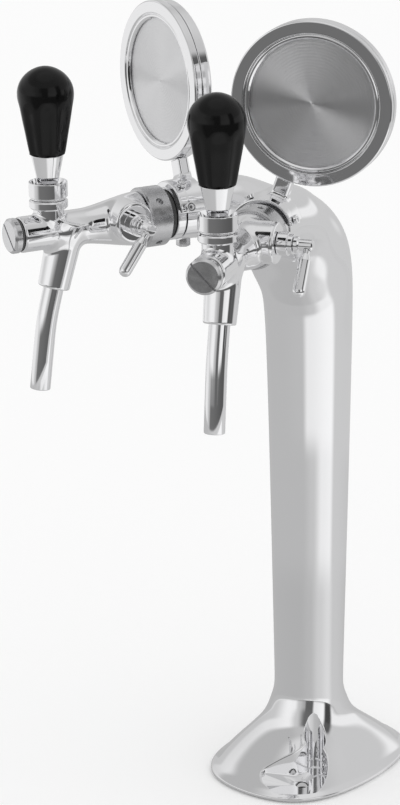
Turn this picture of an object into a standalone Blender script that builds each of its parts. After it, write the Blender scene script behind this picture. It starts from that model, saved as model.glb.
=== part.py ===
"""Two-tap beer tower: a cast swan-neck column on a flared foot, forked into two arms.

Each arm carries a compensator tap and a round medallion. Metres, +Z up, front at -Y.
The origin is the column's axis where the tower meets the bar top.
"""

from math import acos, copysign, cos, pi, radians, sin, sqrt, tan

import bmesh
import bpy
from mathutils import Matrix, Vector

# Clearances and allowances
SEAT_GAP = 0.0003
RUNNING_GAP = 0.0003
CUT_OVERRUN = 0.004

# Where the taps stand
TAP_AXIS_HEIGHT = 0.3975
TAP_SPLAY = radians(21.0)
BEND_RADIUS = 0.0760
ARM_STRAIGHT_LENGTH = 0.0224

# Tower casting
GASKET_THICKNESS = 0.0012
FOOT_HALF_DEPTH = 0.0713
FOOT_HALF_WIDTH = 0.0549
FOOT_CORNER_POWER = 2.57
FOOT_RIM_HEIGHT = 0.0018
FOOT_FLARE_HEIGHT = 0.0620
COLUMN_FOOT_RADIUS = 0.0232
COLUMN_TOP_RADIUS = 0.0283
ARM_RADIUS = 0.0170
CASTING_WALL = 0.0030
ARM_END_WALL = 0.0045
GASKET_INSET = 0.0030

# Bolt pockets cut straight down into two opposite corners of the foot
POCKET_X_SHARE = 0.3917
POCKET_Y_SHARE = 0.6031
POCKET_RADIUS = 0.0218
POCKET_START = radians(252)
POCKET_END = radians(420)
LOBE_X_SHARE = 0.1912
LOBE_Y_SHARE = 0.8078
LOBE_RADIUS = 0.0052
LOBE_START = radians(140)
LOBE_END = radians(250)
POCKET_CORNER_X_SHARE = 0.3697
POCKET_CORNER_Y_SHARE = 0.5302
POCKET_FLOOR = 0.0050
BOLT_SEAT_RADIUS = 0.0090
RAMP_TURN = radians(155)
RAMP_ANGLE = radians(40)
TOOL_NECK_X_SHARE = 0.4299
TOOL_NECK_Y_SHARE = 0.3310
TOOL_NECK_RADIUS = 0.0070
BOLT_X_SHARE = 0.5191
BOLT_Y_SHARE = 0.6171
BOLT_HOLE_RADIUS = 0.0045

# Beer line inside the tower
LINE_RADIUS = 0.0050
LINE_BORE_RADIUS = 0.0035
LINE_OFFSET = 0.0085
LINE_START_HEIGHT = 0.0040

# Shank, its inner nut, the seal and the ring nut
SHANK_RADIUS = 0.0080
SHANK_BORE_RADIUS = 0.0022
SHANK_TAIL_LENGTH = 0.0060
SHANK_BACK_LENGTH = 0.0200
SHANK_FLANGE_RADIUS = 0.0125
SHANK_FLANGE_THICKNESS = 0.0030
SHANK_NUT_RADIUS = 0.0130
SHANK_NUT_THICKNESS = 0.0060
SEAL_THICKNESS = 0.0036
SEAL_RADIUS = 0.0151
RING_NUT_LENGTH = 0.0153
RING_NUT_RADIUS = 0.0188
RING_NUT_EDGE = 0.0010
RING_NUT_LIP = 0.0030
SPANNER_HOLE_RADIUS = 0.0021
SPANNER_HOLE_DEPTH = 0.0026
SPANNER_HOLE_TURNS = {"left": radians(48), "right": radians(12)}

# Medallion bracket
BRACKET_THICKNESS = 0.0060
BRACKET_RADIUS = 0.0164
SADDLE_SETBACK = 0.0006
SADDLE_LENGTH = 0.0176
SADDLE_THICKNESS = 0.0030
SADDLE_FLARE = 0.0016
SADDLE_HALF_ANGLE = radians(78.0)
SADDLE_HALF_WEB = radians(70.0)
STEM_LENGTH = 0.0160
STEM_WIDTH = 0.0110
STEM_DEPTH = 0.0080
BRACKET_SCREW_RADIUS = 0.0030
BRACKET_SCREW_HEAD = 0.0022
BRACKET_SCREW_ANGLES = {"top": radians(24.0), "side": radians(69.0)}
BRACKET_SCREW_SHARE = 0.32
ARM_SCREW_SETBACK = 0.0054
ARM_SCREW_RADIUS = 0.0045
ARM_SCREW_HEAD = 0.0058
ARM_SCREW_SINK = 0.0010

# Medallion
MEDALLION_LEAN = radians(20.0)
MEDALLION_SETBACK = 0.0033
MEDALLION_RADIUS = 0.0500
MEDALLION_DEPTH = 0.0125
MEDALLION_WALL = 0.0022
MEDALLION_BACK_EDGE = 0.0016
BEZEL_DEPTH = 0.0052
BEZEL_EDGE = 0.0012
BEZEL_RIM_WIDTH = 0.0048
BEZEL_RIDGE_DROP = 0.0012
BEZEL_WIDTH = 0.0092
PLATE_THICKNESS = 0.0020
PLATE_RECESS = 0.0030
PLATE_POINT_RADIUS = 0.0012
PLATE_POINT_HEIGHT = 0.0004

# Tap body, turned about the tap's axis
TAP_TAIL_RADIUS = 0.0110
TAP_TAIL_FLANGE_RADIUS = 0.0133
TAP_TAIL_FLANGE_THICKNESS = 0.0040
TAP_FLARE_RADIUS = 0.0168
TAP_FLARE_EDGE = 0.0010
TAP_FLARE_LENGTH = 0.0400
TAP_BARREL_RADIUS = 0.0110
BARREL_FRONT_LENGTH = 0.0206
TAP_CHAMBER_RADIUS = 0.0080
TAP_THROAT_RADIUS = 0.0045
THROAT_CLEARANCE = 0.0155
TAP_THROAT_LENGTH = 0.0040
FRONT_CHAMBER_RADIUS = 0.0072

# Front cap
CAP_LENGTH = 0.0064
CAP_RADIUS = 0.0108
CAP_CHAMFER = 0.0014
CAP_PLUG_LENGTH = 0.0045
CAP_SLOT_WIDTH = 0.0014
CAP_SLOT_DEPTH = 0.0012
CAP_SLOT_TURN = radians(-45.0)
CAP_SEAL_THICKNESS = 0.0012

# Spout and its socket
SOCKET_SETBACK = 0.0071
SOCKET_LEAN = radians(15.0)
SOCKET_LENGTH = 0.0371
SOCKET_TOP_RADIUS = 0.0112
SOCKET_END_RADIUS = 0.0098
SOCKET_PORT_RADIUS = 0.0050
SPOUT_RADIUS = 0.0063
SPOUT_BORE_RADIUS = 0.0051
SPOUT_INSERTION = 0.0180
SPOUT_UPPER_LENGTH = 0.0210
SPOUT_LOWER_LEAN = radians(7.5)
SPOUT_LOWER_LENGTH = 0.0430

# Collar and lever, turned about an upright axis
LEVER_SETBACK = 0.0184
LEVER_PIVOT_RISE = 0.0062
LEVER_BALL_RADIUS = 0.0095
BALL_LOW_CUT = radians(52.0)
BALL_HIGH_CUT = radians(48.0)
NECK_RADIUS = 0.0095
NECK_HEIGHT = 0.0048
NECK_BORE_RADIUS = 0.0074
COLLAR_RADIUS = 0.0118
COLLAR_EDGE = 0.0009
BONNET_LAP = 0.0013
BONNET_LENGTH = 0.0055
LOCK_RING_STEP = 0.0013
LOCK_RING_LENGTH = 0.0097
LOCK_RING_SPIGOT_RADIUS = 0.0108
LOCK_RING_LIP_RADIUS = 0.0115
LOCK_RING_BORE_LENGTH = 0.0037
LEVER_TIP_RADIUS = 0.0030
LEVER_TIP_HEIGHT = 0.0020
LEVER_TIP_STEP = radians(25)
LEVER_SHANK_RADIUS = 0.0018
FERRULE_RISE = 0.0082
FERRULE_LENGTH = 0.0173
FERRULE_BOTTOM_RADIUS = 0.0063
FERRULE_TOP_RADIUS = 0.0099
FERRULE_NOTCH_WIDTH = 0.0060
FERRULE_NOTCH_HEIGHT = 0.0026
FERRULE_NOTCH_DEPTH = 0.0016
KNOB_HEIGHT = 0.0533
KNOB_RADIUS = 0.0171
KNOB_BOTTOM_RADIUS = 0.0111
KNOB_SOCKET_DEPTH = 0.0150
KNOB_FLUTES = 8
KNOB_FLUTE_DEPTH = 0.0009
LEVER_STUD_RADIUS = 0.0036
LEVER_STUD_LENGTH = 0.0120

# Valve plunger in the tap's barrel
PLUNGER_ROD_RADIUS = 0.0026
PLUNGER_HEAD_RADIUS = 0.0062
PLUNGER_HEAD_THICKNESS = 0.0030
PLUNGER_SEAL_THICKNESS = 0.0026
PLUNGER_YOKE_RADIUS = 0.0066
PLUNGER_YOKE_HALF_LENGTH = 0.0070
PLUNGER_SLOT_HALF_LENGTH = 0.0040
PLUNGER_SLOT_WIDTH = 0.0070
PLUNGER_SLOT_FLOOR = -0.0016
PLUNGER_FRONT_CLEARANCE = 0.0030

# Compensator: the flow cone in the flare, its spindle and side lever
BOSS_NUT_GAP = 0.0006
SPINDLE_HEIGHT = 0.0030
SPINDLE_RADIUS = 0.0030
SPINDLE_CRANK = 0.0018
CRANK_PIN_RADIUS = 0.0012
CRANK_PIN_START = 0.0036
BOSS_RADIUS = 0.0128
BOSS_FACE = 0.0215
BOSS_EDGE = 0.0012
GLAND_RADIUS = 0.0072
GLAND_LENGTH = 0.0095
GLAND_STEP_RADIUS = 0.0060
GLAND_STEP_LENGTH = 0.0030
HUB_RADIUS = 0.0050
HUB_DISC_LENGTH = 0.0024
HUB_BARREL_RADIUS = 0.0036
HUB_END = 0.0432
ROD_RADIUS = 0.0039
ROD_NECK_RADIUS = 0.0022
ROD_SHOULDER = 0.0100
ROD_LENGTH = 0.0326
ROD_LEAN = radians(35.8)
ROD_SIDE = 0.0395
ROD_SEAT_DEPTH = 0.0012
CONE_RADIUS = 0.0062
CONE_TIP_RADIUS = 0.0022
CONE_BACK_LENGTH = 0.0126
CONE_SHOULDER_LENGTH = 0.0034
CONE_TIP_LENGTH = 0.0099
CONE_GROOVE_RADIUS = 0.0030
CONE_GROOVE_HALF_WIDTH = 0.0019

# Facet counts
DISC_ROUND = 32
CUP_ROUND = 48
ROUND = 16
SMALL_ROUND = 10
TINY_ROUND = 6

# Finishes as colour, roughness and metallic value
FINISHES = {
    "polished chrome": ((0.80, 0.80, 0.81), 0.10, 1.0),
    "turned steel": ((0.62, 0.62, 0.63), 0.32, 1.0),
    "brass": ((0.78, 0.62, 0.34), 0.30, 1.0),
    "stainless steel": ((0.66, 0.66, 0.67), 0.28, 1.0),
    "black plastic": ((0.012, 0.012, 0.013), 0.16, 0.0),
    "black rubber": ((0.02, 0.02, 0.02), 0.70, 0.0),
    "food hose": ((0.80, 0.80, 0.78), 0.45, 0.0),
}

# Turns that lay an upright mesh along another axis
UPRIGHT = Matrix.Identity(4)
FORWARD = Matrix.Rotation(pi / 2, 4, "X")
SIDEWAYS = Matrix.Rotation(pi / 2, 4, "Y")

# Places in the foot
pocket_x = FOOT_HALF_WIDTH * POCKET_X_SHARE
pocket_y = FOOT_HALF_DEPTH * POCKET_Y_SHARE
lobe_x = FOOT_HALF_WIDTH * LOBE_X_SHARE
lobe_y = FOOT_HALF_DEPTH * LOBE_Y_SHARE
pocket_corner_x = FOOT_HALF_WIDTH * POCKET_CORNER_X_SHARE
pocket_corner_y = FOOT_HALF_DEPTH * POCKET_CORNER_Y_SHARE
tool_neck_x = FOOT_HALF_WIDTH * TOOL_NECK_X_SHARE
tool_neck_y = FOOT_HALF_DEPTH * TOOL_NECK_Y_SHARE
bolt_x = FOOT_HALF_WIDTH * BOLT_X_SHARE
bolt_y = FOOT_HALF_DEPTH * BOLT_Y_SHARE

# Stations along a tap's axis, each from the piece behind it
arm_reach = BEND_RADIUS + ARM_STRAIGHT_LENGTH
arm_wall_back = arm_reach - ARM_END_WALL
lock_reach = arm_reach - ARM_SCREW_SETBACK
medallion_front = arm_reach - MEDALLION_SETBACK
bracket_back = arm_reach + SEAT_GAP
bracket_front = bracket_back + BRACKET_THICKNESS
seal_back = bracket_front + SEAT_GAP
seal_front = seal_back + SEAL_THICKNESS
nut_back = seal_front + SEAT_GAP
nut_front = nut_back + RING_NUT_LENGTH
flare_back = nut_front + SEAT_GAP
flare_front = flare_back + TAP_FLARE_LENGTH
tail_flange_front = nut_front - RING_NUT_LIP - SEAT_GAP
tail_back = tail_flange_front - TAP_TAIL_FLANGE_THICKNESS
shank_front = tail_back - SEAT_GAP
spindle_reach = nut_front + BOSS_NUT_GAP + BOSS_RADIUS
cone_back = spindle_reach - CONE_BACK_LENGTH
cone_shoulder = spindle_reach + CONE_SHOULDER_LENGTH
cone_tip = spindle_reach + CONE_TIP_LENGTH
throat_start = cone_tip + THROAT_CLEARANCE
throat_end = throat_start + TAP_THROAT_LENGTH
socket_reach = throat_end + SOCKET_SETBACK
lever_reach = throat_end + LEVER_SETBACK
barrel_end = lever_reach + BARREL_FRONT_LENGTH

# Radii and heights, each from the piece that it sits on
lock_top = ARM_SCREW_SINK - ARM_RADIUS
medallion_rise = ARM_RADIUS + STEM_LENGTH + MEDALLION_RADIUS
ridge_radius = MEDALLION_RADIUS - BEZEL_RIM_WIDTH
bezel_inner_radius = MEDALLION_RADIUS - BEZEL_WIDTH
neck_top = TAP_BARREL_RADIUS + NECK_HEIGHT
pivot_height = neck_top + LEVER_PIVOT_RISE
bonnet_bottom = neck_top - BONNET_LAP
bonnet_top = bonnet_bottom + BONNET_LENGTH
lock_ring_bottom = bonnet_top + LOCK_RING_STEP
lock_ring_top = lock_ring_bottom + LOCK_RING_LENGTH
lock_cone_start = lock_ring_bottom + LOCK_RING_BORE_LENGTH
ferrule_bottom = pivot_height + FERRULE_RISE
ferrule_top = ferrule_bottom + FERRULE_LENGTH
knob_bottom = ferrule_top + SEAT_GAP


def clear_scene():
    for thing in list(bpy.data.objects):
        bpy.data.objects.remove(thing)


def finish(name):
    """The named Principled material, made once."""
    found = bpy.data.materials.get(name)
    if found:
        return found
    colour, roughness, metallic = FINISHES[name]
    made = bpy.data.materials.new(name)
    made.use_nodes = True
    shader = made.node_tree.nodes["Principled BSDF"]
    shader.inputs["Base Color"].default_value = (*colour, 1.0)
    shader.inputs["Roughness"].default_value = roughness
    shader.inputs["Metallic"].default_value = metallic
    made.diffuse_color = (*colour, 1.0)
    return made


def turned(profile, segments):
    """A profile of (radius, height) turned about +Z. Radius 0 at both ends closes it on the axis."""
    mesh = bmesh.new()
    rings = []
    for radius, height in profile:
        count = segments if radius else 1
        rings.append(
            [
                mesh.verts.new(
                    (radius * cos(2 * pi * i / segments), radius * sin(2 * pi * i / segments), height)
                )
                for i in range(count)
            ]
        )
    bands = list(zip(rings, rings[1:]))
    if profile[0][0] and profile[-1][0]:
        bands.append((rings[-1], rings[0]))
    for low, high in bands:
        for i in range(segments):
            corners = (
                low[i % len(low)],
                low[(i + 1) % len(low)],
                high[(i + 1) % len(high)],
                high[i % len(high)],
            )
            mesh.faces.new(list(dict.fromkeys(corners)))
    bmesh.ops.recalc_face_normals(mesh, faces=mesh.faces)
    return mesh


def rod(radius, start, end, segments):
    return turned([(0, start), (radius, start), (radius, end), (0, end)], segments)


def block(width, depth, height):
    """A box on its own centre."""
    mesh = bmesh.new()
    bmesh.ops.create_cube(mesh, size=1)
    bmesh.ops.scale(mesh, vec=(width, depth, height), verts=mesh.verts)
    return mesh


def swept(points, radii, segments, start_side):
    """Rings of the given radii square to a path of points. A list of (outer, inner) radii makes a tube."""
    mesh = bmesh.new()
    side = Vector(start_side).normalized()
    loops = []
    for i, point in enumerate(points):
        ahead = (points[min(i + 1, len(points) - 1)] - points[max(i - 1, 0)]).normalized()
        side = (side - side.dot(ahead) * ahead).normalized()
        up = ahead.cross(side)
        loops.append(
            [
                [
                    mesh.verts.new(
                        point
                        + radius * cos(2 * pi * k / segments) * side
                        + radius * sin(2 * pi * k / segments) * up
                    )
                    for k in range(segments)
                ]
                for radius in radii
            ]
        )
    for here, there in zip(loops, loops[1:]):
        for low, high in zip(here, there):
            for k in range(segments):
                n = (k + 1) % segments
                mesh.faces.new((low[k], low[n], high[n], high[k]))
    for end in (loops[0], loops[-1]):
        if len(radii) == 1:
            mesh.faces.new(end[0])
            continue
        outer, inner = end
        for k in range(segments):
            n = (k + 1) % segments
            mesh.faces.new((outer[k], outer[n], inner[n], inner[k]))
    bmesh.ops.recalc_face_normals(mesh, faces=mesh.faces)
    return mesh


def piece(name, mesh, finish_name, parent=None, turn=UPRIGHT, at=(0, 0, 0), origin=None):
    """An object whose mesh is turned and set at a place of its parent's frame. Its own origin is `origin`."""
    origin = Vector(at if origin is None else origin)
    mesh.transform(Matrix.Translation(Vector(at) - origin) @ turn)
    data = bpy.data.meshes.new(name)
    mesh.to_mesh(data)
    mesh.free()
    data.materials.append(finish(finish_name))
    data.shade_smooth()
    data.set_sharp_from_angle(angle=radians(35))
    thing = bpy.data.objects.new(name, data)
    bpy.context.scene.collection.objects.link(thing)
    thing.parent = parent
    thing.location = origin
    return thing


def tool(name, mesh, parent=None, turn=UPRIGHT, at=(0, 0, 0)):
    """A hidden solid that a Boolean adds or takes away."""
    thing = piece(name, mesh, "polished chrome", parent, turn, at)
    thing.hide_render = True
    thing.display_type = "WIRE"
    return thing


def combine(thing, operation, tools):
    """One Boolean of the object with all the tools at once."""
    group = bpy.data.collections.new(thing.name + "_" + operation.lower())
    for other in tools:
        group.objects.link(other)
    modifier = thing.modifiers.new(group.name, "BOOLEAN")
    modifier.operand_type = "COLLECTION"
    modifier.collection = group
    modifier.operation = operation


def frame(name, parent=None, at=(0, 0, 0), turn=0.0):
    """An empty that pieces hang on."""
    empty = bpy.data.objects.new(name, None)
    bpy.context.scene.collection.objects.link(empty)
    empty.parent = parent
    empty.location = at
    empty.rotation_euler = (0, 0, turn)
    return empty


# Cage of the tower casting: rings of sixteen points, split at the fork into two rings of twelve
TRUNK_POINTS = 16
ARM_POINTS = 12
trunk_swell = 3 / (2 + cos(2 * pi / TRUNK_POINTS))
arm_swell = 3 / (2 + cos(2 * pi / ARM_POINTS))
BEND_ANGLES = (radians(16), radians(33), radians(48), radians(61))
BEND_RADIUS_SHARES = (1.08, 1.16, 1.0, 0.775)
FORK_SHARES = (0.32, 0.45, 0.71, 1.0)
CROTCH_ANGLE = radians(70)
CROTCH_RADIUS_SHARE = 0.90
ARM_ANGLE = radians(77)
ARM_RADIUS_SHARE = 0.84
# Height in the flare as a share of its height, then how far out the surface is between column and rim
FLARE_SHARES = ((0.06, 0.90), (0.13, 0.81), (0.30, 0.52), (0.50, 0.18), (0.68, 0.08), (0.84, 0.0))


def foot_ring(height, out_share, inset):
    """One ring between the column's circle and the foot's rounded-rectangle outline."""
    column = COLUMN_FOOT_RADIUS - inset
    half_width = column + (FOOT_HALF_WIDTH - COLUMN_FOOT_RADIUS) * out_share
    half_depth = column + (FOOT_HALF_DEPTH - COLUMN_FOOT_RADIUS) * out_share
    power = 2 + (FOOT_CORNER_POWER - 2) * min(1, 2 * out_share)
    points = []
    for i in range(TRUNK_POINTS):
        c, s = cos(2 * pi * i / TRUNK_POINTS), sin(2 * pi * i / TRUNK_POINTS)
        x = half_width * copysign(abs(c) ** (2 / power), c)
        y = -half_depth * copysign(abs(s) ** (2 / power), s)
        points.append(Vector((x, y, height)) * trunk_swell)
        points[-1].z = height
    return points


def round_ring(height, radius):
    swollen = radius * trunk_swell
    angles = [2 * pi * i / TRUNK_POINTS for i in range(TRUNK_POINTS)]
    return [Vector((swollen * cos(a), -swollen * sin(a), height)) for a in angles]


def arm_centre(bend, beyond=0.0):
    """Centre of the right arm's section where the bend has turned by an angle, or further along the arm."""
    reach = BEND_RADIUS * (1 - cos(bend)) + beyond
    height = TAP_AXIS_HEIGHT - BEND_RADIUS + BEND_RADIUS * sin(bend)
    return Vector((reach * sin(TAP_SPLAY), -reach * cos(TAP_SPLAY), height))


def arm_point(bend, around, radius, beyond=0.0):
    """A point of the right arm's section: 0 faces the other arm, a quarter turn is the top."""
    out = Vector((cos(TAP_SPLAY), sin(TAP_SPLAY), 0))
    top = Vector((-cos(bend) * sin(TAP_SPLAY), cos(bend) * cos(TAP_SPLAY), sin(bend)))
    return arm_centre(bend, beyond) + radius * (sin(around) * top - cos(around) * out)


def mirrored(point):
    return Vector((-point.x, point.y, point.z))


def bend_ring(bend, radius, fork):
    """A trunk ring in the bend, from a circle (fork 0) to two joined arm sections (fork 1)."""
    centre = arm_centre(bend)
    middle = Vector((0, centre.y, centre.z))
    back = Vector((0, cos(bend), sin(bend)))
    step = 2 * pi / ARM_POINTS
    points = []
    for i in range(TRUNK_POINTS):
        angle = 2 * pi * i / TRUNK_POINTS
        circle = middle + radius * (Vector((cos(angle), 0, 0)) - sin(angle) * back)
        if i in (4, 12):
            forked = arm_point(bend, pi / 3 if i == 12 else -pi / 3, radius)
            forked.x = 0
        elif 4 < i < 12:
            forked = mirrored(arm_point(bend, pi - step * (i - 8), radius))
        else:
            forked = arm_point(bend, pi + step * (i if i < 4 else i - TRUNK_POINTS), radius)
        points.append(circle.lerp(forked, fork) + (trunk_swell - 1) * (circle - middle))
    return points


def arm_ring(bend, radius, beyond=0.0):
    step = 2 * pi / ARM_POINTS
    return [arm_point(bend, pi / 3 + step * j, radius * arm_swell, beyond) for j in range(ARM_POINTS)]


def tower_cage(inset, foot, arm_end):
    """The casting's surface as an open cage, moved inwards by inset."""
    mesh = bmesh.new()

    def add(ring):
        return [mesh.verts.new(p) for p in ring]

    def bridge(low, high):
        for i in range(len(low)):
            n = (i + 1) % len(low)
            mesh.faces.new((low[i], low[n], high[n], high[i]))

    bend_start = TAP_AXIS_HEIGHT - BEND_RADIUS
    rings = list(foot)
    rings.append(round_ring(bend_start, COLUMN_TOP_RADIUS - inset))
    for bend, share, fork in zip(BEND_ANGLES, BEND_RADIUS_SHARES, FORK_SHARES):
        rings.append(bend_ring(bend, COLUMN_TOP_RADIUS * share - inset, fork))
    rings = [add(ring) for ring in rings]
    for low, high in zip(rings, rings[1:]):
        bridge(low, high)
    last = rings[-1]
    crotch = []
    for around in (-pi / 6, 0, pi / 6):
        point = arm_point(CROTCH_ANGLE, around, COLUMN_TOP_RADIUS * CROTCH_RADIUS_SHARE - inset)
        point.x = 0
        crotch.append(point)
    crotch = add(crotch)
    right = [last[i % TRUNK_POINTS] for i in range(12, 21)] + crotch
    left = [last[i] for i in range(12, 3, -1)] + crotch
    knuckle = arm_ring(ARM_ANGLE, COLUMN_TOP_RADIUS * ARM_RADIUS_SHARE - inset)
    straight = arm_end - BEND_RADIUS
    sections = [
        knuckle,
        arm_ring(pi / 2, ARM_RADIUS - inset),
        arm_ring(pi / 2, ARM_RADIUS - inset, straight),
    ]
    for start, side in ((right, list), (left, lambda ring: [mirrored(p) for p in ring])):
        low = start
        for section in sections:
            high = add(side(section))
            bridge(low, high)
            low = high
    bmesh.ops.recalc_face_normals(mesh, faces=mesh.faces)
    return mesh


def rounded_solid(cage, levels):
    """The cage's subdivision surface with its open ends closed flat."""
    data = bpy.data.meshes.new("cage")
    cage.to_mesh(data)
    cage.free()
    holder = bpy.data.objects.new("cage", data)
    bpy.context.scene.collection.objects.link(holder)
    modifier = holder.modifiers.new("Subdivision", "SUBSURF")
    modifier.levels = levels
    modifier.render_levels = levels
    graph = bpy.context.evaluated_depsgraph_get()
    smooth = bpy.data.meshes.new_from_object(holder.evaluated_get(graph))
    bpy.data.objects.remove(holder)
    mesh = bmesh.new()
    mesh.from_mesh(smooth)
    bmesh.ops.holes_fill(mesh, edges=[e for e in mesh.edges if e.is_boundary], sides=0)
    bmesh.ops.recalc_face_normals(mesh, faces=mesh.faces)
    return mesh


def outer_foot():
    """Rings from the foot's lower edge to the foot of the column."""
    bottom = GASKET_THICKNESS + SEAT_GAP
    rings = [foot_ring(bottom, 1, 0), foot_ring(bottom + FOOT_RIM_HEIGHT / 2, 1, 0)]
    rings.append(foot_ring(bottom + FOOT_RIM_HEIGHT, 1, 0))
    for height_share, out_share in FLARE_SHARES:
        rings.append(foot_ring(bottom + FOOT_FLARE_HEIGHT * height_share, out_share, 0))
    rings.append(round_ring(bottom + FOOT_FLARE_HEIGHT, COLUMN_FOOT_RADIUS))
    rings.append(round_ring(bottom + 2 * FOOT_FLARE_HEIGHT, column_radius(bottom + 2 * FOOT_FLARE_HEIGHT)))
    return rings


def column_radius(height):
    """The column widens evenly from its foot to the bend."""
    start = GASKET_THICKNESS + SEAT_GAP + FOOT_FLARE_HEIGHT
    share = (height - start) / (TAP_AXIS_HEIGHT - BEND_RADIUS - start)
    return COLUMN_FOOT_RADIUS + (COLUMN_TOP_RADIUS - COLUMN_FOOT_RADIUS) * share


def tower():
    outside = rounded_solid(tower_cage(0, outer_foot(), arm_reach), 1)
    casting = piece("tower_casting", outside, "polished chrome")
    inner_foot = [
        round_ring(-CUT_OVERRUN, COLUMN_FOOT_RADIUS - CASTING_WALL),
        round_ring(FOOT_FLARE_HEIGHT, COLUMN_FOOT_RADIUS - CASTING_WALL),
    ]
    hollow = rounded_solid(tower_cage(CASTING_WALL, inner_foot, arm_wall_back), 1)
    cutters = [tool("casting_hollow", hollow)]
    for name, turn in (("front", 0.0), ("back", pi)):
        corner = frame("bolt_corner_" + name, turn=turn)
        cutters += bolt_pocket(corner, name)
    for side, sign in (("left", -1), ("right", 1)):
        arm = frame("arm_frame_" + side, at=(0, 0, TAP_AXIS_HEIGHT), turn=sign * TAP_SPLAY)
        bore = rod(SHANK_RADIUS + RUNNING_GAP, arm_wall_back - CUT_OVERRUN, arm_reach + CUT_OVERRUN, ROUND)
        cutters.append(tool("arm_bore_" + side, bore, arm, FORWARD))
        seat = rod(ARM_SCREW_RADIUS + SEAT_GAP, lock_top - ARM_SCREW_HEAD, lock_top + SEAT_GAP, SMALL_ROUND)
        cutters.append(tool("lock_seat_" + side, seat, arm, at=(0, -lock_reach, 0)))
    combine(casting, "DIFFERENCE", cutters)
    gasket()


def bolt_pocket(corner, name):
    """Cutters for one pocket: the fan-shaped well, the neck that the tool goes down, and the bolt's hole."""
    bolt = Vector((bolt_x, -bolt_y, 0))
    outline = [Vector((tool_neck_x, -tool_neck_y, 0)), Vector((pocket_corner_x, -pocket_corner_y, 0))]
    for x, y, radius, start, end, steps in (
        (lobe_x, lobe_y, LOBE_RADIUS, LOBE_START, LOBE_END, 4),
        (pocket_x, pocket_y, POCKET_RADIUS, POCKET_START, POCKET_END, 12),
    ):
        for k in range(steps + 1):
            angle = start + (end - start) * k / steps
            outline.append(Vector((x + radius * cos(angle), -y + radius * sin(angle), 0)))
    uphill = Vector((cos(RAMP_TURN), sin(RAMP_TURN), 0))
    well = bmesh.new()
    middle = well.verts.new(bolt + Vector((0, 0, POCKET_FLOOR)))
    seat, edge, brim = [], [], []
    for point in outline:
        away = point - bolt
        climb = max(0, away.dot(uphill) - BOLT_SEAT_RADIUS) * tan(RAMP_ANGLE)
        flat = bolt + away.normalized() * BOLT_SEAT_RADIUS
        seat.append(well.verts.new(flat + Vector((0, 0, POCKET_FLOOR))))
        edge.append(well.verts.new(point + Vector((0, 0, POCKET_FLOOR + climb))))
        brim.append(well.verts.new(point + Vector((0, 0, POCKET_FLOOR + FOOT_FLARE_HEIGHT))))
    for k in range(len(outline)):
        n = (k + 1) % len(outline)
        well.faces.new((middle, seat[n], seat[k]))
        well.faces.new((seat[k], seat[n], edge[n], edge[k]))
        well.faces.new((edge[k], edge[n], brim[n], brim[k]))
    well.faces.new(brim)
    bmesh.ops.recalc_face_normals(well, faces=well.faces)
    neck = rod(TOOL_NECK_RADIUS, POCKET_FLOOR, POCKET_FLOOR + FOOT_FLARE_HEIGHT, SMALL_ROUND)
    bolt_hole = rod(BOLT_HOLE_RADIUS, -CUT_OVERRUN, POCKET_FLOOR + CUT_OVERRUN, SMALL_ROUND)
    return [
        tool("pocket_well_" + name, well, corner),
        tool("tool_neck_" + name, neck, corner, at=(tool_neck_x, -tool_neck_y, 0)),
        tool("bolt_hole_" + name, bolt_hole, corner, at=(bolt_x, -bolt_y, 0)),
    ]


def gasket():
    """The rubber sheet under the foot, open at the column's bore and the two bolts."""
    points = DISC_ROUND
    mesh = bmesh.new()
    loops = []
    for height in (0, GASKET_THICKNESS):
        outer, inner = [], []
        for i in range(points):
            c, s = cos(2 * pi * i / points), sin(2 * pi * i / points)
            x = (FOOT_HALF_WIDTH - GASKET_INSET) * copysign(abs(c) ** (2 / FOOT_CORNER_POWER), c)
            y = (FOOT_HALF_DEPTH - GASKET_INSET) * copysign(abs(s) ** (2 / FOOT_CORNER_POWER), s)
            outer.append(mesh.verts.new((x, y, height)))
            bore = COLUMN_FOOT_RADIUS - CASTING_WALL
            inner.append(mesh.verts.new((bore * c, bore * s, height)))
        loops.append((outer, inner))
    (low_outer, low_inner), (high_outer, high_inner) = loops
    for i in range(points):
        n = (i + 1) % points
        mesh.faces.new((low_outer[i], low_outer[n], high_outer[n], high_outer[i]))
        mesh.faces.new((low_inner[i], low_inner[n], high_inner[n], high_inner[i]))
        mesh.faces.new((low_outer[i], low_outer[n], low_inner[n], low_inner[i]))
        mesh.faces.new((high_outer[i], high_outer[n], high_inner[n], high_inner[i]))
    bmesh.ops.recalc_face_normals(mesh, faces=mesh.faces)
    sheet = piece("base_gasket", mesh, "black rubber")
    cutters = []
    for name, sign in (("front", 1), ("back", -1)):
        hole = rod(BOLT_HOLE_RADIUS, -CUT_OVERRUN, GASKET_THICKNESS + CUT_OVERRUN, SMALL_ROUND)
        place = (sign * bolt_x, -sign * bolt_y, 0)
        cutters.append(tool("gasket_hole_" + name, hole, at=place))
    combine(sheet, "DIFFERENCE", cutters)


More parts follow.
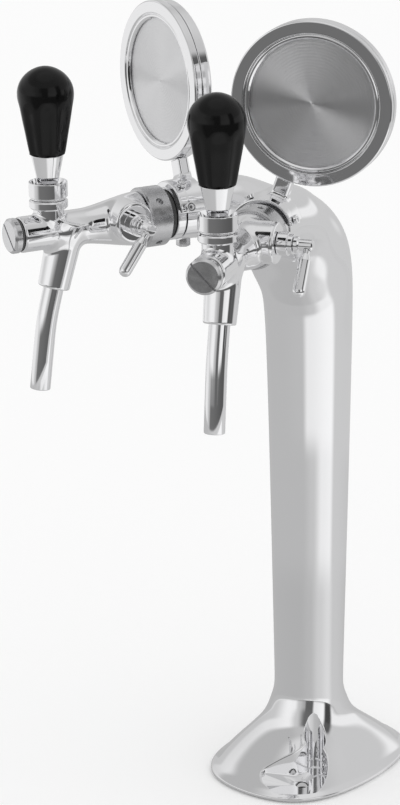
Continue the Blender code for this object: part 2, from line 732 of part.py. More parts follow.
def beer_line(side, sign):
    """The hose from the foot's opening up the column and round the bend onto the shank's tail."""
    points = []
    start = GASKET_THICKNESS + LINE_START_HEIGHT
    straight_top = TAP_AXIS_HEIGHT - BEND_RADIUS
    for share in (0, 0.5, 1):
        points.append(Vector((sign * LINE_OFFSET, 0, start + (straight_top - start) * share)))
    end_reach = arm_wall_back - SHANK_BACK_LENGTH - SEAT_GAP
    last_bend = acos(1 - (end_reach - 2 * LINE_RADIUS) / BEND_RADIUS)
    rise = BEND_RADIUS * (1 - sin(last_bend))
    steps = 6
    for k in range(1, steps + 1):
        share = k / steps
        centre = arm_centre(last_bend * share)
        across = centre.x + LINE_OFFSET * (1 - share)
        points.append(Vector((sign * across, centre.y, centre.z + rise * share**2)))
    end = Vector((sign * end_reach * sin(TAP_SPLAY), -end_reach * cos(TAP_SPLAY), TAP_AXIS_HEIGHT))
    points.append(end)
    radii = (LINE_RADIUS, LINE_BORE_RADIUS)
    piece("beer_line_" + side, swept(points, radii, SMALL_ROUND, (1, 0, 0)), "food hose")


def shank(side, tap):
    """The threaded tube through the arm's end wall: a hose tail behind, a flange under the ring nut."""
    back = arm_wall_back - SHANK_BACK_LENGTH
    flange_back = shank_front - SHANK_FLANGE_THICKNESS
    tail = LINE_BORE_RADIUS - RUNNING_GAP
    profile = [
        (SHANK_BORE_RADIUS, back - SHANK_TAIL_LENGTH),
        (tail, back - SHANK_TAIL_LENGTH),
        (tail, back),
        (SHANK_RADIUS, back),
        (SHANK_RADIUS, flange_back),
        (SHANK_FLANGE_RADIUS, flange_back),
        (SHANK_FLANGE_RADIUS, shank_front),
        (SHANK_BORE_RADIUS, shank_front),
    ]
    piece("shank_" + side, turned(profile, ROUND), "brass", tap, FORWARD)
    nut_end = arm_wall_back - SEAT_GAP
    hexagon = rod(SHANK_NUT_RADIUS, nut_end - SHANK_NUT_THICKNESS, nut_end, 6)
    nut = piece("shank_nut_" + side, hexagon, "brass", tap, FORWARD)
    thread = rod(SHANK_RADIUS + RUNNING_GAP, back, nut_end + CUT_OVERRUN, ROUND)
    combine(nut, "DIFFERENCE", [tool("nut_bore_" + side, thread, tap, FORWARD)])


def ring_nut(side, tap):
    """The round coupling nut with four spanner holes. Its front lip holds the tap's tail flange."""
    bore = TAP_TAIL_FLANGE_RADIUS + RUNNING_GAP
    lip_bore = TAP_TAIL_RADIUS + RUNNING_GAP
    profile = [
        (bore, nut_back),
        (RING_NUT_RADIUS - RING_NUT_EDGE, nut_back),
        (RING_NUT_RADIUS, nut_back + RING_NUT_EDGE),
        (RING_NUT_RADIUS, nut_front - RING_NUT_EDGE),
        (RING_NUT_RADIUS - RING_NUT_EDGE, nut_front),
        (lip_bore, nut_front),
        (lip_bore, nut_front - RING_NUT_LIP),
        (bore, nut_front - RING_NUT_LIP),
    ]
    nut = piece("ring_nut_" + side, turned(profile, 2 * SMALL_ROUND), "polished chrome", tap, FORWARD)
    middle = (nut_back + nut_front) / 2
    cutters = []
    for k in range(4):
        floor = RING_NUT_RADIUS - SPANNER_HOLE_DEPTH
        hole = rod(SPANNER_HOLE_RADIUS, floor, RING_NUT_RADIUS + CUT_OVERRUN, TINY_ROUND)
        turn = Matrix.Rotation(pi / 2 * k + SPANNER_HOLE_TURNS[side], 4, "Y")
        name = f"spanner_hole_{side}_{k}"
        cutters.append(tool(name, hole, tap, turn, (0, -middle, 0)))
    combine(nut, "DIFFERENCE", cutters)


def shank_seal(side, tap):
    bore = SHANK_RADIUS + RUNNING_GAP
    profile = [(bore, seal_back), (SEAL_RADIUS, seal_back), (SEAL_RADIUS, seal_front), (bore, seal_front)]
    piece("shank_seal_" + side, turned(profile, ROUND), "black rubber", tap, FORWARD)


def medallion_centre(sign):
    """Where the medallion's front face is centred, in its tap's frame."""
    side_lean = sign * MEDALLION_LEAN
    return Vector((medallion_rise * sin(side_lean), -medallion_front, medallion_rise * cos(side_lean)))


def medallion_bracket(side, sign, tap):
    """A ring clamped on the arm's end, a saddle round the arm's upper half and a stem up to the medallion."""
    bore = SHANK_RADIUS + RUNNING_GAP
    profile = [
        (bore, bracket_back),
        (BRACKET_RADIUS, bracket_back),
        (BRACKET_RADIUS, bracket_front),
        (bore, bracket_front),
    ]
    clamp = turned(profile, 2 * SMALL_ROUND)
    bracket = piece("medallion_bracket_" + side, clamp, "polished chrome", tap, FORWARD)
    low = ARM_RADIUS + SEAT_GAP
    high = low + SADDLE_THICKNESS
    front = bracket_front - SADDLE_SETBACK
    back = front - SADDLE_LENGTH
    flared_low = low + SADDLE_FLARE
    flared_high = high + SADDLE_FLARE
    web = BRACKET_RADIUS - SADDLE_SETBACK
    saddle_outline = ((flared_low, back), (flared_high, back), (high, front), (low, front))
    saddle = arched(saddle_outline, SADDLE_HALF_ANGLE, 12)
    web_outline = ((web, bracket_back), (high, bracket_back), (high, front), (web, front))
    web_ring = arched(web_outline, SADDLE_HALF_WEB, 10)
    centre = medallion_centre(sign)
    rise = Matrix.Rotation(sign * MEDALLION_LEAN, 4, "Y")
    stem_end = centre.xz.length - MEDALLION_RADIUS + SEAT_GAP
    stem_start = (flared_low + flared_high) / 2
    stem = block(STEM_WIDTH, STEM_DEPTH, stem_end - stem_start)
    stem_reach = medallion_front - MEDALLION_DEPTH / 2
    middle = rise @ Vector((0, 0, (stem_end + stem_start) / 2)) - Vector((0, stem_reach, 0))
    added = [
        tool("saddle_" + side, saddle, tap),
        tool("saddle_web_" + side, web_ring, tap),
        tool("stem_" + side, stem, tap, rise, middle),
    ]
    combine(bracket, "UNION", added)
    cup_back = medallion_front - 2 * MEDALLION_DEPTH
    cup = rod(MEDALLION_RADIUS + SEAT_GAP, cup_back, medallion_front + MEDALLION_DEPTH, CUP_ROUND)
    cup_tool = tool("rim_clearance_" + side, cup, tap, FORWARD, (centre.x, 0, centre.z))
    combine(bracket, "DIFFERENCE", [cup_tool])
    screw_reach = front - SADDLE_LENGTH * BRACKET_SCREW_SHARE
    screw_start = high + SADDLE_FLARE * BRACKET_SCREW_SHARE + SEAT_GAP
    for end, angle in (
        ("top", -sign * BRACKET_SCREW_ANGLES["top"]),
        ("side", BRACKET_SCREW_ANGLES["side"]),
    ):
        screw = rod(BRACKET_SCREW_RADIUS, screw_start, screw_start + BRACKET_SCREW_HEAD, TINY_ROUND)
        turn = Matrix.Rotation(angle, 4, "Y")
        name = f"bracket_screw_{side}_{end}"
        piece(name, screw, "polished chrome", tap, turn, (0, -screw_reach, 0))
    lock = rod(ARM_SCREW_RADIUS, lock_top - ARM_SCREW_HEAD, lock_top, 6)
    piece("arm_lock_screw_" + side, lock, "stainless steel", tap, at=(0, -lock_reach, 0))


def arched(outline, half_angle, steps):
    """An outline of (radius, reach) swept over the top of a tap's axis, half the angle to each side."""
    mesh = bmesh.new()
    rows = []
    for k in range(steps + 1):
        angle = half_angle * (2 * k / steps - 1)
        out = Vector((sin(angle), 0, cos(angle)))
        rows.append([mesh.verts.new(out * radius + Vector((0, -reach, 0))) for radius, reach in outline])
    count = len(outline)
    for near, far in zip(rows, rows[1:]):
        for k in range(count):
            n = (k + 1) % count
            mesh.faces.new((near[k], near[n], far[n], far[k]))
    mesh.faces.new(rows[0])
    mesh.faces.new(rows[-1])
    bmesh.ops.recalc_face_normals(mesh, faces=mesh.faces)
    return mesh


def medallion(side, sign, tap):
    """A shallow case, a stepped bezel screwed over it and the turned face plate between them."""
    centre = medallion_centre(sign)
    place = (centre.x, 0, centre.z)
    front = medallion_front
    back = front - MEDALLION_DEPTH
    seam = front - BEZEL_DEPTH
    inner = MEDALLION_RADIUS - MEDALLION_WALL
    plate_front = front - PLATE_RECESS
    plate_back = plate_front - PLATE_THICKNESS
    case = [
        (0, back),
        (MEDALLION_RADIUS - MEDALLION_BACK_EDGE, back),
        (MEDALLION_RADIUS, back + MEDALLION_BACK_EDGE),
        (MEDALLION_RADIUS, seam - SEAT_GAP),
        (inner, seam - SEAT_GAP),
        (inner, back + MEDALLION_WALL),
        (0, back + MEDALLION_WALL),
    ]
    piece("medallion_case_" + side, turned(case, DISC_ROUND), "polished chrome", tap, FORWARD, place)
    ledge_radius = inner - MEDALLION_WALL
    bezel = [
        (ledge_radius, seam),
        (MEDALLION_RADIUS, seam),
        (MEDALLION_RADIUS, front - BEZEL_EDGE),
        (MEDALLION_RADIUS - BEZEL_EDGE, front),
        (ridge_radius + BEZEL_EDGE, front),
        (ridge_radius, front - BEZEL_RIDGE_DROP),
        (bezel_inner_radius + BEZEL_EDGE, front - BEZEL_RIDGE_DROP),
        (bezel_inner_radius, front - PLATE_RECESS + SEAT_GAP),
        (ledge_radius, front - PLATE_RECESS + SEAT_GAP),
    ]
    piece("medallion_bezel_" + side, turned(bezel, DISC_ROUND), "polished chrome", tap, FORWARD, place)
    plate = [
        (0, plate_back),
        (ledge_radius - SEAT_GAP, plate_back),
        (ledge_radius - SEAT_GAP, plate_front),
        (PLATE_POINT_RADIUS, plate_front),
        (0, plate_front + PLATE_POINT_HEIGHT),
    ]
    piece("medallion_plate_" + side, turned(plate, DISC_ROUND), "turned steel", tap, FORWARD, place)


# Length along the flare as a share, then how much of its widening is left there
FLARE_DROP_SHARES = ((0.10, 0.965), (0.30, 0.76), (0.50, 0.50), (0.70, 0.24), (0.88, 0.05))


def tap_body(side, tap):
    """The flared barrel with its spout socket, lever neck and side boss, bored for the valve."""
    outline = [
        (0, tail_back),
        (TAP_TAIL_FLANGE_RADIUS, tail_back),
        (TAP_TAIL_FLANGE_RADIUS, tail_flange_front),
        (TAP_TAIL_RADIUS, tail_flange_front),
        (TAP_TAIL_RADIUS, flare_back),
        (TAP_FLARE_RADIUS - TAP_FLARE_EDGE, flare_back),
        (TAP_FLARE_RADIUS, flare_back + TAP_FLARE_EDGE),
    ]
    drop = TAP_FLARE_RADIUS - TAP_BARREL_RADIUS
    for share, left_share in FLARE_DROP_SHARES:
        outline.append((TAP_BARREL_RADIUS + drop * left_share, flare_back + TAP_FLARE_LENGTH * share))
    outline += [(TAP_BARREL_RADIUS, flare_front), (TAP_BARREL_RADIUS, barrel_end), (0, barrel_end)]
    body = piece("tap_body_" + side, turned(outline, ROUND), "polished chrome", tap, FORWARD)

    socket = turned(
        [
            (0, -SOCKET_LENGTH),
            (SOCKET_END_RADIUS, -SOCKET_LENGTH),
            (SOCKET_TOP_RADIUS - SEAT_GAP, 0),
            (0, 0),
        ],
        ROUND,
    )
    lean = Matrix.Rotation(SOCKET_LEAN, 4, "X")
    socket_place = (0, -socket_reach, 0)
    neck = rod(NECK_RADIUS, 0, neck_top, ROUND)
    lever_place = (0, -lever_reach, 0)
    boss = turned(
        [
            (0, 0),
            (BOSS_RADIUS, 0),
            (BOSS_RADIUS, BOSS_FACE - BOSS_EDGE),
            (BOSS_RADIUS - BOSS_EDGE, BOSS_FACE),
            (0, BOSS_FACE),
        ],
        ROUND,
    )
    spindle_place = (0, -spindle_reach, SPINDLE_HEIGHT)
    added = [
        tool("socket_" + side, socket, tap, lean.inverted(), socket_place),
        tool("neck_" + side, neck, tap, at=lever_place),
        tool("boss_" + side, boss, tap, SIDEWAYS, spindle_place),
    ]
    combine(body, "UNION", added)

    chamber = turned(
        [
            (0, tail_back - CUT_OVERRUN),
            (TAP_CHAMBER_RADIUS, tail_back - CUT_OVERRUN),
            (TAP_CHAMBER_RADIUS, throat_start),
            (TAP_THROAT_RADIUS, throat_start),
            (TAP_THROAT_RADIUS, throat_end),
            (FRONT_CHAMBER_RADIUS, throat_end),
            (FRONT_CHAMBER_RADIUS, barrel_end + CUT_OVERRUN),
            (0, barrel_end + CUT_OVERRUN),
        ],
        ROUND,
    )
    neck_bore = rod(NECK_BORE_RADIUS, 0, neck_top + CUT_OVERRUN, ROUND)
    seat_depth = SOCKET_LENGTH - SPOUT_INSERTION
    port = turned(
        [
            (0, -SOCKET_LENGTH - CUT_OVERRUN),
            (SPOUT_RADIUS + RUNNING_GAP, -SOCKET_LENGTH - CUT_OVERRUN),
            (SPOUT_RADIUS + RUNNING_GAP, -seat_depth),
            (SOCKET_PORT_RADIUS, -seat_depth),
            (SOCKET_PORT_RADIUS, 0),
            (0, 0),
        ],
        ROUND,
    )
    spindle_bore = rod(SPINDLE_RADIUS + RUNNING_GAP, 0, BOSS_FACE + CUT_OVERRUN, SMALL_ROUND)
    cutters = [
        tool("chamber_cut_" + side, chamber, tap, FORWARD),
        tool("neck_cut_" + side, neck_bore, tap, at=lever_place),
        tool("port_cut_" + side, port, tap, lean.inverted(), socket_place),
        tool("spindle_cut_" + side, spindle_bore, tap, SIDEWAYS, spindle_place),
    ]
    combine(body, "DIFFERENCE", cutters)


def front_cap(side, tap):
    """The slotted plug that closes the barrel, with its flat seal."""
    seal_front = barrel_end + SEAT_GAP + CAP_SEAL_THICKNESS
    start = seal_front + SEAT_GAP
    end = start + CAP_LENGTH - CAP_SEAL_THICKNESS - SEAT_GAP
    plug = FRONT_CHAMBER_RADIUS - RUNNING_GAP
    profile = [
        (0, barrel_end - CAP_PLUG_LENGTH),
        (plug, barrel_end - CAP_PLUG_LENGTH),
        (plug, start),
        (CAP_RADIUS, start),
        (CAP_RADIUS, end - CAP_CHAMFER),
        (CAP_RADIUS - CAP_CHAMFER, end),
        (0, end),
    ]
    cap = piece("front_cap_" + side, turned(profile, ROUND), "polished chrome", tap, FORWARD)
    slot = block(2 * CAP_RADIUS, 2 * CAP_SLOT_DEPTH, CAP_SLOT_WIDTH)
    turn = Matrix.Rotation(CAP_SLOT_TURN, 4, "Y").inverted()
    combine(cap, "DIFFERENCE", [tool("cap_slot_" + side, slot, tap, turn, (0, -end, 0))])
    bore = plug + RUNNING_GAP
    rim = TAP_BARREL_RADIUS - CAP_CHAMFER / 2
    ring = [
        (bore, barrel_end + SEAT_GAP),
        (rim, barrel_end + SEAT_GAP),
        (rim, seal_front),
        (bore, seal_front),
    ]
    piece("cap_seal_" + side, turned(ring, ROUND), "black rubber", tap, FORWARD)


def spout(side, tap):
    """The pouring pipe: straight in its socket, then bent more upright."""
    down = Vector((0, -sin(SOCKET_LEAN), -cos(SOCKET_LEAN)))
    lower = Vector((0, -sin(SPOUT_LOWER_LEAN), -cos(SPOUT_LOWER_LEAN)))
    top = Vector((0, -socket_reach, 0)) + down * (SOCKET_LENGTH - SPOUT_INSERTION + SEAT_GAP)
    knee = top + down * (SPOUT_INSERTION + SPOUT_UPPER_LENGTH)
    turn_length = SPOUT_RADIUS
    points = [top, knee - turn_length * down, knee + turn_length * lower]
    middle = (points[1] + points[2]) / 4 + knee / 2
    points.insert(2, middle)
    points.append(knee + lower * SPOUT_LOWER_LENGTH)
    radii = (SPOUT_RADIUS, SPOUT_BORE_RADIUS)
    piece("spout_" + side, swept(points, radii, ROUND, (1, 0, 0)), "polished chrome", tap)


def collar(side, tap):
    """The bonnet nut on the tap's neck and the locking ring above it hold the lever's ball."""
    place = (0, -lever_reach, 0)
    bore = LEVER_BALL_RADIUS + RUNNING_GAP
    bonnet = [
        (bore, bonnet_bottom),
        (COLLAR_RADIUS - COLLAR_EDGE, bonnet_bottom),
        (COLLAR_RADIUS, bonnet_bottom + COLLAR_EDGE),
        (COLLAR_RADIUS, bonnet_top - COLLAR_EDGE),
        (COLLAR_RADIUS - COLLAR_EDGE, bonnet_top),
        (bore, bonnet_top),
    ]
    piece("bonnet_nut_" + side, turned(bonnet, ROUND), "polished chrome", tap, at=place)
    lock = [
        (bore, bonnet_top + SEAT_GAP),
        (LOCK_RING_SPIGOT_RADIUS, bonnet_top + SEAT_GAP),
        (LOCK_RING_SPIGOT_RADIUS, lock_ring_bottom),
        (COLLAR_RADIUS, lock_ring_bottom + COLLAR_EDGE / 2),
        (COLLAR_RADIUS, lock_ring_top - COLLAR_EDGE / 2),
        (LOCK_RING_LIP_RADIUS, lock_ring_top),
        (bore, lock_cone_start),
    ]
    piece("locking_ring_" + side, turned(lock, ROUND), "polished chrome", tap, at=place)


def lever(side, tap):
    """The lever's ball and stem, the ferrule over it and the knob, all turning about the ball's centre."""
    pivot = (0, -lever_reach, pivot_height)
    place = (0, -lever_reach, 0)
    ball = LEVER_BALL_RADIUS
    low_cut = BALL_LOW_CUT
    high_cut = BALL_HIGH_CUT
    profile = [(0, LEVER_TIP_HEIGHT - LEVER_TIP_RADIUS)]
    for k in range(-2, 3):
        angle = LEVER_TIP_STEP * k
        profile.append((LEVER_TIP_RADIUS * cos(angle), LEVER_TIP_HEIGHT + LEVER_TIP_RADIUS * sin(angle)))
    profile.append((LEVER_SHANK_RADIUS, LEVER_TIP_HEIGHT + LEVER_TIP_RADIUS))
    ball_bottom = pivot_height - ball * sin(low_cut)
    profile.append((LEVER_SHANK_RADIUS, ball_bottom - LEVER_SHANK_RADIUS))
    steps = 6
    for k in range(steps + 1):
        angle = -low_cut + (low_cut + high_cut) * k / steps
        profile.append((ball * cos(angle), pivot_height + ball * sin(angle)))
    stud_top = knob_bottom + LEVER_STUD_LENGTH
    profile += [
        (LEVER_STUD_RADIUS, pivot_height + ball * sin(high_cut) + SEAT_GAP),
        (LEVER_STUD_RADIUS, stud_top),
        (0, stud_top),
    ]
    piece("lever_stem_" + side, turned(profile, SMALL_ROUND), "stainless steel", tap, at=place, origin=pivot)

    bore = LEVER_STUD_RADIUS + RUNNING_GAP
    sleeve = [
        (bore, ferrule_bottom),
        (FERRULE_BOTTOM_RADIUS, ferrule_bottom),
        (FERRULE_TOP_RADIUS, ferrule_top),
        (bore, ferrule_top),
    ]
    ferrule = piece("ferrule_" + side, turned(sleeve, ROUND), "polished chrome", tap, at=place, origin=pivot)
    notch = block(FERRULE_NOTCH_WIDTH, 2 * FERRULE_NOTCH_DEPTH, 2 * FERRULE_NOTCH_HEIGHT)
    notch_place = (0, -lever_reach - FERRULE_BOTTOM_RADIUS, ferrule_bottom)
    combine(ferrule, "DIFFERENCE", [tool("ferrule_notch_" + side, notch, tap, at=notch_place)])
    piece("knob_" + side, knob_mesh(), "black plastic", tap, at=place, origin=pivot)


# Knob outline: height as a share of the knob, then radius as a share of its widest radius
KNOB_SHARES = (
    (0.03, 0.672),
    (0.22, 0.784),
    (0.45, 0.916),
    (0.60, 0.985),
    (0.69, 1.000),
    (0.78, 0.955),
    (0.86, 0.815),
    (0.93, 0.595),
    (0.98, 0.320),
)
KNOB_FLUTE_END_SHARE = 0.66


def knob_mesh():
    """A drop-shaped grip whose lower part has shallow flutes, hollow at its foot for the stud."""
    segments = 4 * KNOB_FLUTES
    outline = [(KNOB_BOTTOM_RADIUS, 0)]
    outline += [(KNOB_RADIUS * radius, KNOB_HEIGHT * height) for height, radius in KNOB_SHARES]
    bore = LEVER_STUD_RADIUS + RUNNING_GAP
    profile = [(0, KNOB_SOCKET_DEPTH), (bore, KNOB_SOCKET_DEPTH), (bore, 0), *outline, (0, KNOB_HEIGHT)]
    mesh = turned(profile, segments)
    for vertex in mesh.verts:
        radius = vertex.co.xy.length
        if radius < 2 * bore or vertex.co.z > KNOB_HEIGHT * KNOB_FLUTE_END_SHARE:
            continue
        angle = acos(max(-1, min(1, vertex.co.x / radius)))
        wave = 0.5 - 0.5 * cos(KNOB_FLUTES * angle)
        vertex.co.xy *= 1 - KNOB_FLUTE_DEPTH * wave / radius
    mesh.transform(Matrix.Translation((0, 0, knob_bottom)))
    return mesh


def valve(side, tap):
    """The plunger that the lever's tip pushes back to open the throat, and its rubber seal."""
    seal_front = throat_start - SEAT_GAP
    seal_back_face = seal_front - PLUNGER_SEAL_THICKNESS
    head_front = seal_back_face - SEAT_GAP
    rod_end = barrel_end - CAP_PLUG_LENGTH - PLUNGER_FRONT_CLEARANCE
    profile = [
        (0, head_front - PLUNGER_HEAD_THICKNESS),
        (PLUNGER_HEAD_RADIUS, head_front - PLUNGER_HEAD_THICKNESS),
        (PLUNGER_HEAD_RADIUS, head_front),
        (PLUNGER_ROD_RADIUS, head_front),
        (PLUNGER_ROD_RADIUS, lever_reach - PLUNGER_YOKE_HALF_LENGTH),
        (PLUNGER_YOKE_RADIUS, lever_reach - PLUNGER_YOKE_HALF_LENGTH),
        (PLUNGER_YOKE_RADIUS, lever_reach + PLUNGER_YOKE_HALF_LENGTH),
        (PLUNGER_ROD_RADIUS, lever_reach + PLUNGER_YOKE_HALF_LENGTH),
        (PLUNGER_ROD_RADIUS, rod_end),
        (0, rod_end),
    ]
    plunger = piece("valve_plunger_" + side, turned(profile, SMALL_ROUND), "stainless steel", tap, FORWARD)
    slot_height = PLUNGER_YOKE_RADIUS + CUT_OVERRUN - PLUNGER_SLOT_FLOOR
    slot = block(PLUNGER_SLOT_WIDTH, 2 * PLUNGER_SLOT_HALF_LENGTH, slot_height)
    slot_place = (0, -lever_reach, PLUNGER_SLOT_FLOOR + slot_height / 2)
    combine(plunger, "DIFFERENCE", [tool("yoke_slot_" + side, slot, tap, at=slot_place)])
    bore = PLUNGER_ROD_RADIUS + RUNNING_GAP
    washer = [
        (bore, seal_back_face),
        (PLUNGER_HEAD_RADIUS, seal_back_face),
        (PLUNGER_HEAD_RADIUS, seal_front),
        (bore, seal_front),
    ]
    piece("valve_seal_" + side, turned(washer, SMALL_ROUND), "black rubber", tap, FORWARD)


def compensator(side, tap):
    """The flow cone, the cranked spindle that slides it, its gland, and the side lever."""
    groove_back = spindle_reach - CONE_GROOVE_HALF_WIDTH
    groove_front = spindle_reach + CONE_GROOVE_HALF_WIDTH
    cone = [
        (0, cone_back),
        (CONE_TIP_RADIUS, cone_back),
        (CONE_RADIUS, cone_back + CONE_RADIUS),
        (CONE_RADIUS, groove_back),
        (CONE_GROOVE_RADIUS, groove_back),
        (CONE_GROOVE_RADIUS, groove_front),
        (CONE_RADIUS, groove_front),
        (CONE_RADIUS, cone_shoulder),
        (CONE_TIP_RADIUS, cone_tip),
        (0, cone_tip),
    ]
    piece("compensator_cone_" + side, turned(cone, SMALL_ROUND), "stainless steel", tap, FORWARD)

    axis = (0, -spindle_reach, SPINDLE_HEIGHT)
    web = TAP_CHAMBER_RADIUS - RUNNING_GAP
    gland_start = BOSS_FACE + SEAT_GAP
    gland_end = gland_start + GLAND_LENGTH
    hub_start = gland_end + SEAT_GAP
    disc_end = hub_start + HUB_DISC_LENGTH
    spindle = piece(
        "compensator_spindle_" + side,
        rod(SPINDLE_RADIUS, web, hub_start + HUB_DISC_LENGTH, SMALL_ROUND),
        "stainless steel",
        tap,
        SIDEWAYS,
        axis,
    )
    pin = rod(CRANK_PIN_RADIUS, CRANK_PIN_START, web + CRANK_PIN_RADIUS, TINY_ROUND)
    crank_place = (0, -spindle_reach, SPINDLE_HEIGHT - SPINDLE_CRANK)
    combine(spindle, "UNION", [tool("crank_pin_" + side, pin, tap, SIDEWAYS, crank_place)])
    bore = SPINDLE_RADIUS + RUNNING_GAP
    gland = [
        (bore, gland_start),
        (GLAND_RADIUS, gland_start),
        (GLAND_RADIUS, gland_end - GLAND_STEP_LENGTH),
        (GLAND_STEP_RADIUS, gland_end - GLAND_STEP_LENGTH),
        (GLAND_STEP_RADIUS, gland_end),
        (bore, gland_end),
    ]
    piece("gland_nut_" + side, turned(gland, ROUND), "polished chrome", tap, SIDEWAYS, axis)

    hub = [
        (0, disc_end + SEAT_GAP),
        (bore, disc_end + SEAT_GAP),
        (bore, hub_start),
        (HUB_RADIUS, hub_start),
        (HUB_RADIUS, disc_end),
        (HUB_BARREL_RADIUS, disc_end + COLLAR_EDGE),
        (HUB_BARREL_RADIUS, HUB_END - COLLAR_EDGE),
        (HUB_BARREL_RADIUS - COLLAR_EDGE, HUB_END),
        (0, HUB_END),
    ]
    head = piece("compensator_hub_" + side, turned(hub, SMALL_ROUND), "polished chrome", tap, SIDEWAYS, axis)
    swing = Matrix.Rotation(ROD_LEAN, 4, "X").inverted()
    rod_place = (ROD_SIDE, -spindle_reach, SPINDLE_HEIGHT)
    top = ROD_SEAT_DEPTH - HUB_BARREL_RADIUS
    seat = rod(ROD_NECK_RADIUS + SEAT_GAP, -2 * HUB_BARREL_RADIUS, top, SMALL_ROUND)
    combine(head, "DIFFERENCE", [tool("rod_seat_" + side, seat, tap, swing, rod_place)])
    bar = [(0, -ROD_LENGTH)]
    for k in (1, 2, 3):
        angle = pi / 6 * k
        bar.append((ROD_RADIUS * sin(angle), -ROD_LENGTH + ROD_RADIUS * (1 - cos(angle))))
    bar += [
        (ROD_RADIUS, -ROD_SHOULDER),
        (ROD_NECK_RADIUS, -HUB_BARREL_RADIUS - ROD_NECK_RADIUS),
        (ROD_NECK_RADIUS, top - SEAT_GAP),
        (0, top - SEAT_GAP),
    ]
    piece("compensator_rod_" + side, turned(bar, SMALL_ROUND), "polished chrome", tap, swing, rod_place, axis)


def tap_assembly(side, sign):
    tap = frame("tap_frame_" + side, at=(0, 0, TAP_AXIS_HEIGHT), turn=sign * TAP_SPLAY)
    beer_line(side, sign)
    shank(side, tap)
    shank_seal(side, tap)
    ring_nut(side, tap)
    medallion_bracket(side, sign, tap)
    medallion(side, sign, tap)
    tap_body(side, tap)
    front_cap(side, tap)
    spout(side, tap)
    collar(side, tap)
    lever(side, tap)
    valve(side, tap)
    compensator(side, tap)


clear_scene()
tower()
for side_name, side_sign in (("left", -1), ("right", 1)):
    tap_assembly(side_name, side_sign)
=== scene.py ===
"""Looks of the two-tap beer tower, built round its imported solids. Metres, +Z up, front at -Y."""

from math import acos, copysign, cos, pi, radians, sin, sqrt, tan

import bmesh
import bpy
import numpy as np
from mathutils import Matrix, Vector
from mathutils.bvhtree import BVHTree


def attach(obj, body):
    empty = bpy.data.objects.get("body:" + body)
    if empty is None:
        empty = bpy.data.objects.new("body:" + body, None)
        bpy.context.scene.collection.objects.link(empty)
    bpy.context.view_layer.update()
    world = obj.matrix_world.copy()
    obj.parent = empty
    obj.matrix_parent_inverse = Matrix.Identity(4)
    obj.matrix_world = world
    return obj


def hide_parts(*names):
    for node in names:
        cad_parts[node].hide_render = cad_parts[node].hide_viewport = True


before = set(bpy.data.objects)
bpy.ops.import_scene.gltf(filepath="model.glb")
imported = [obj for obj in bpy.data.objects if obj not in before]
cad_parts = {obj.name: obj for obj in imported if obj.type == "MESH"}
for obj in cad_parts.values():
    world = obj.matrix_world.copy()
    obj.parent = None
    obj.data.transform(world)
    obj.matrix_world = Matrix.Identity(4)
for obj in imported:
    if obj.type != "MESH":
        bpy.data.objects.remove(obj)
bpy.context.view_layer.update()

CAMERA_AZIMUTH = 40.0
AXIS_HEIGHT = 0.3975
SPLAY = radians(21.0)
SIDES = (("left", -1), ("right", 1))
SHANK_BORE = 0.0083
# Places in a tap's frame: to its side, back along its axis, up
LOCK_SCREW = (0, -0.0930, 0)
COMPENSATOR = (0, -0.1376, 0.0030)
SPOUT = (0, -0.1741, 0)
SPOUT_LEAN = radians(15)
LEVER = (0, -0.1854, 0)
MEDALLION_LEAN = radians(20)
MEDALLION_REACH = 0.08301
UP = Matrix.Identity(4)
FORWARD = Matrix.Rotation(pi / 2, 4, "X")
SIDEWAYS = Matrix.Rotation(pi / 2, 4, "Y")


# Materials


def shader(name, colour, roughness, metallic=0.0, **values):
    made = bpy.data.materials.new(name)
    made.use_nodes = True
    principled = made.node_tree.nodes["Principled BSDF"]
    principled.inputs["Base Color"].default_value = (*colour, 1.0)
    principled.inputs["Roughness"].default_value = roughness
    principled.inputs["Metallic"].default_value = metallic
    for key, value in values.items():
        principled.inputs[key.replace("_", " ")].default_value = value
    return made, made.node_tree, principled


def node(tree, kind, **settings):
    made = tree.nodes.new("ShaderNode" + kind)
    for key, value in settings.items():
        if key in made.inputs:
            made.inputs[key].default_value = value
        else:
            setattr(made, key, value)
    return made


def speckle(tree, scale, detail=3.0, stretch=(1, 1, 1)):
    """Noise in the piece's own space, which moves with it."""
    place = node(tree, "TexCoord")
    mapping = node(tree, "Mapping", Scale=stretch)
    noise = node(tree, "TexNoise", Scale=scale, Detail=detail)
    tree.links.new(place.outputs["Object"], mapping.inputs["Vector"])
    tree.links.new(mapping.outputs["Vector"], noise.inputs["Vector"])
    return noise.outputs["Fac"]


def spread(tree, value, low, high):
    """The value's middle part, where noise mostly lies, mapped to low and high."""
    made = node(tree, "MapRange")
    for name, limit in (("From Min", 0.3), ("From Max", 0.7), ("To Min", low), ("To Max", high)):
        made.inputs[name].default_value = limit
    tree.links.new(value, made.inputs["Value"])
    return made.outputs["Result"]


def bumped(tree, principled, height, strength, distance):
    bump = node(tree, "Bump", Strength=strength, Distance=distance)
    tree.links.new(height, bump.inputs["Height"])
    tree.links.new(bump.outputs["Normal"], principled.inputs["Normal"])


def metal(name, colour, low, high, scale, bump=0.0, stretch=(1, 1, 1)):
    """A metal whose gloss varies a little over its surface."""
    made, tree, principled = shader(name, colour, low, 1.0)
    noise = speckle(tree, scale, 4.0, stretch)
    tree.links.new(spread(tree, noise, low, high), principled.inputs["Roughness"])
    if bump:
        bumped(tree, principled, noise, bump, 0.0004)
    return made


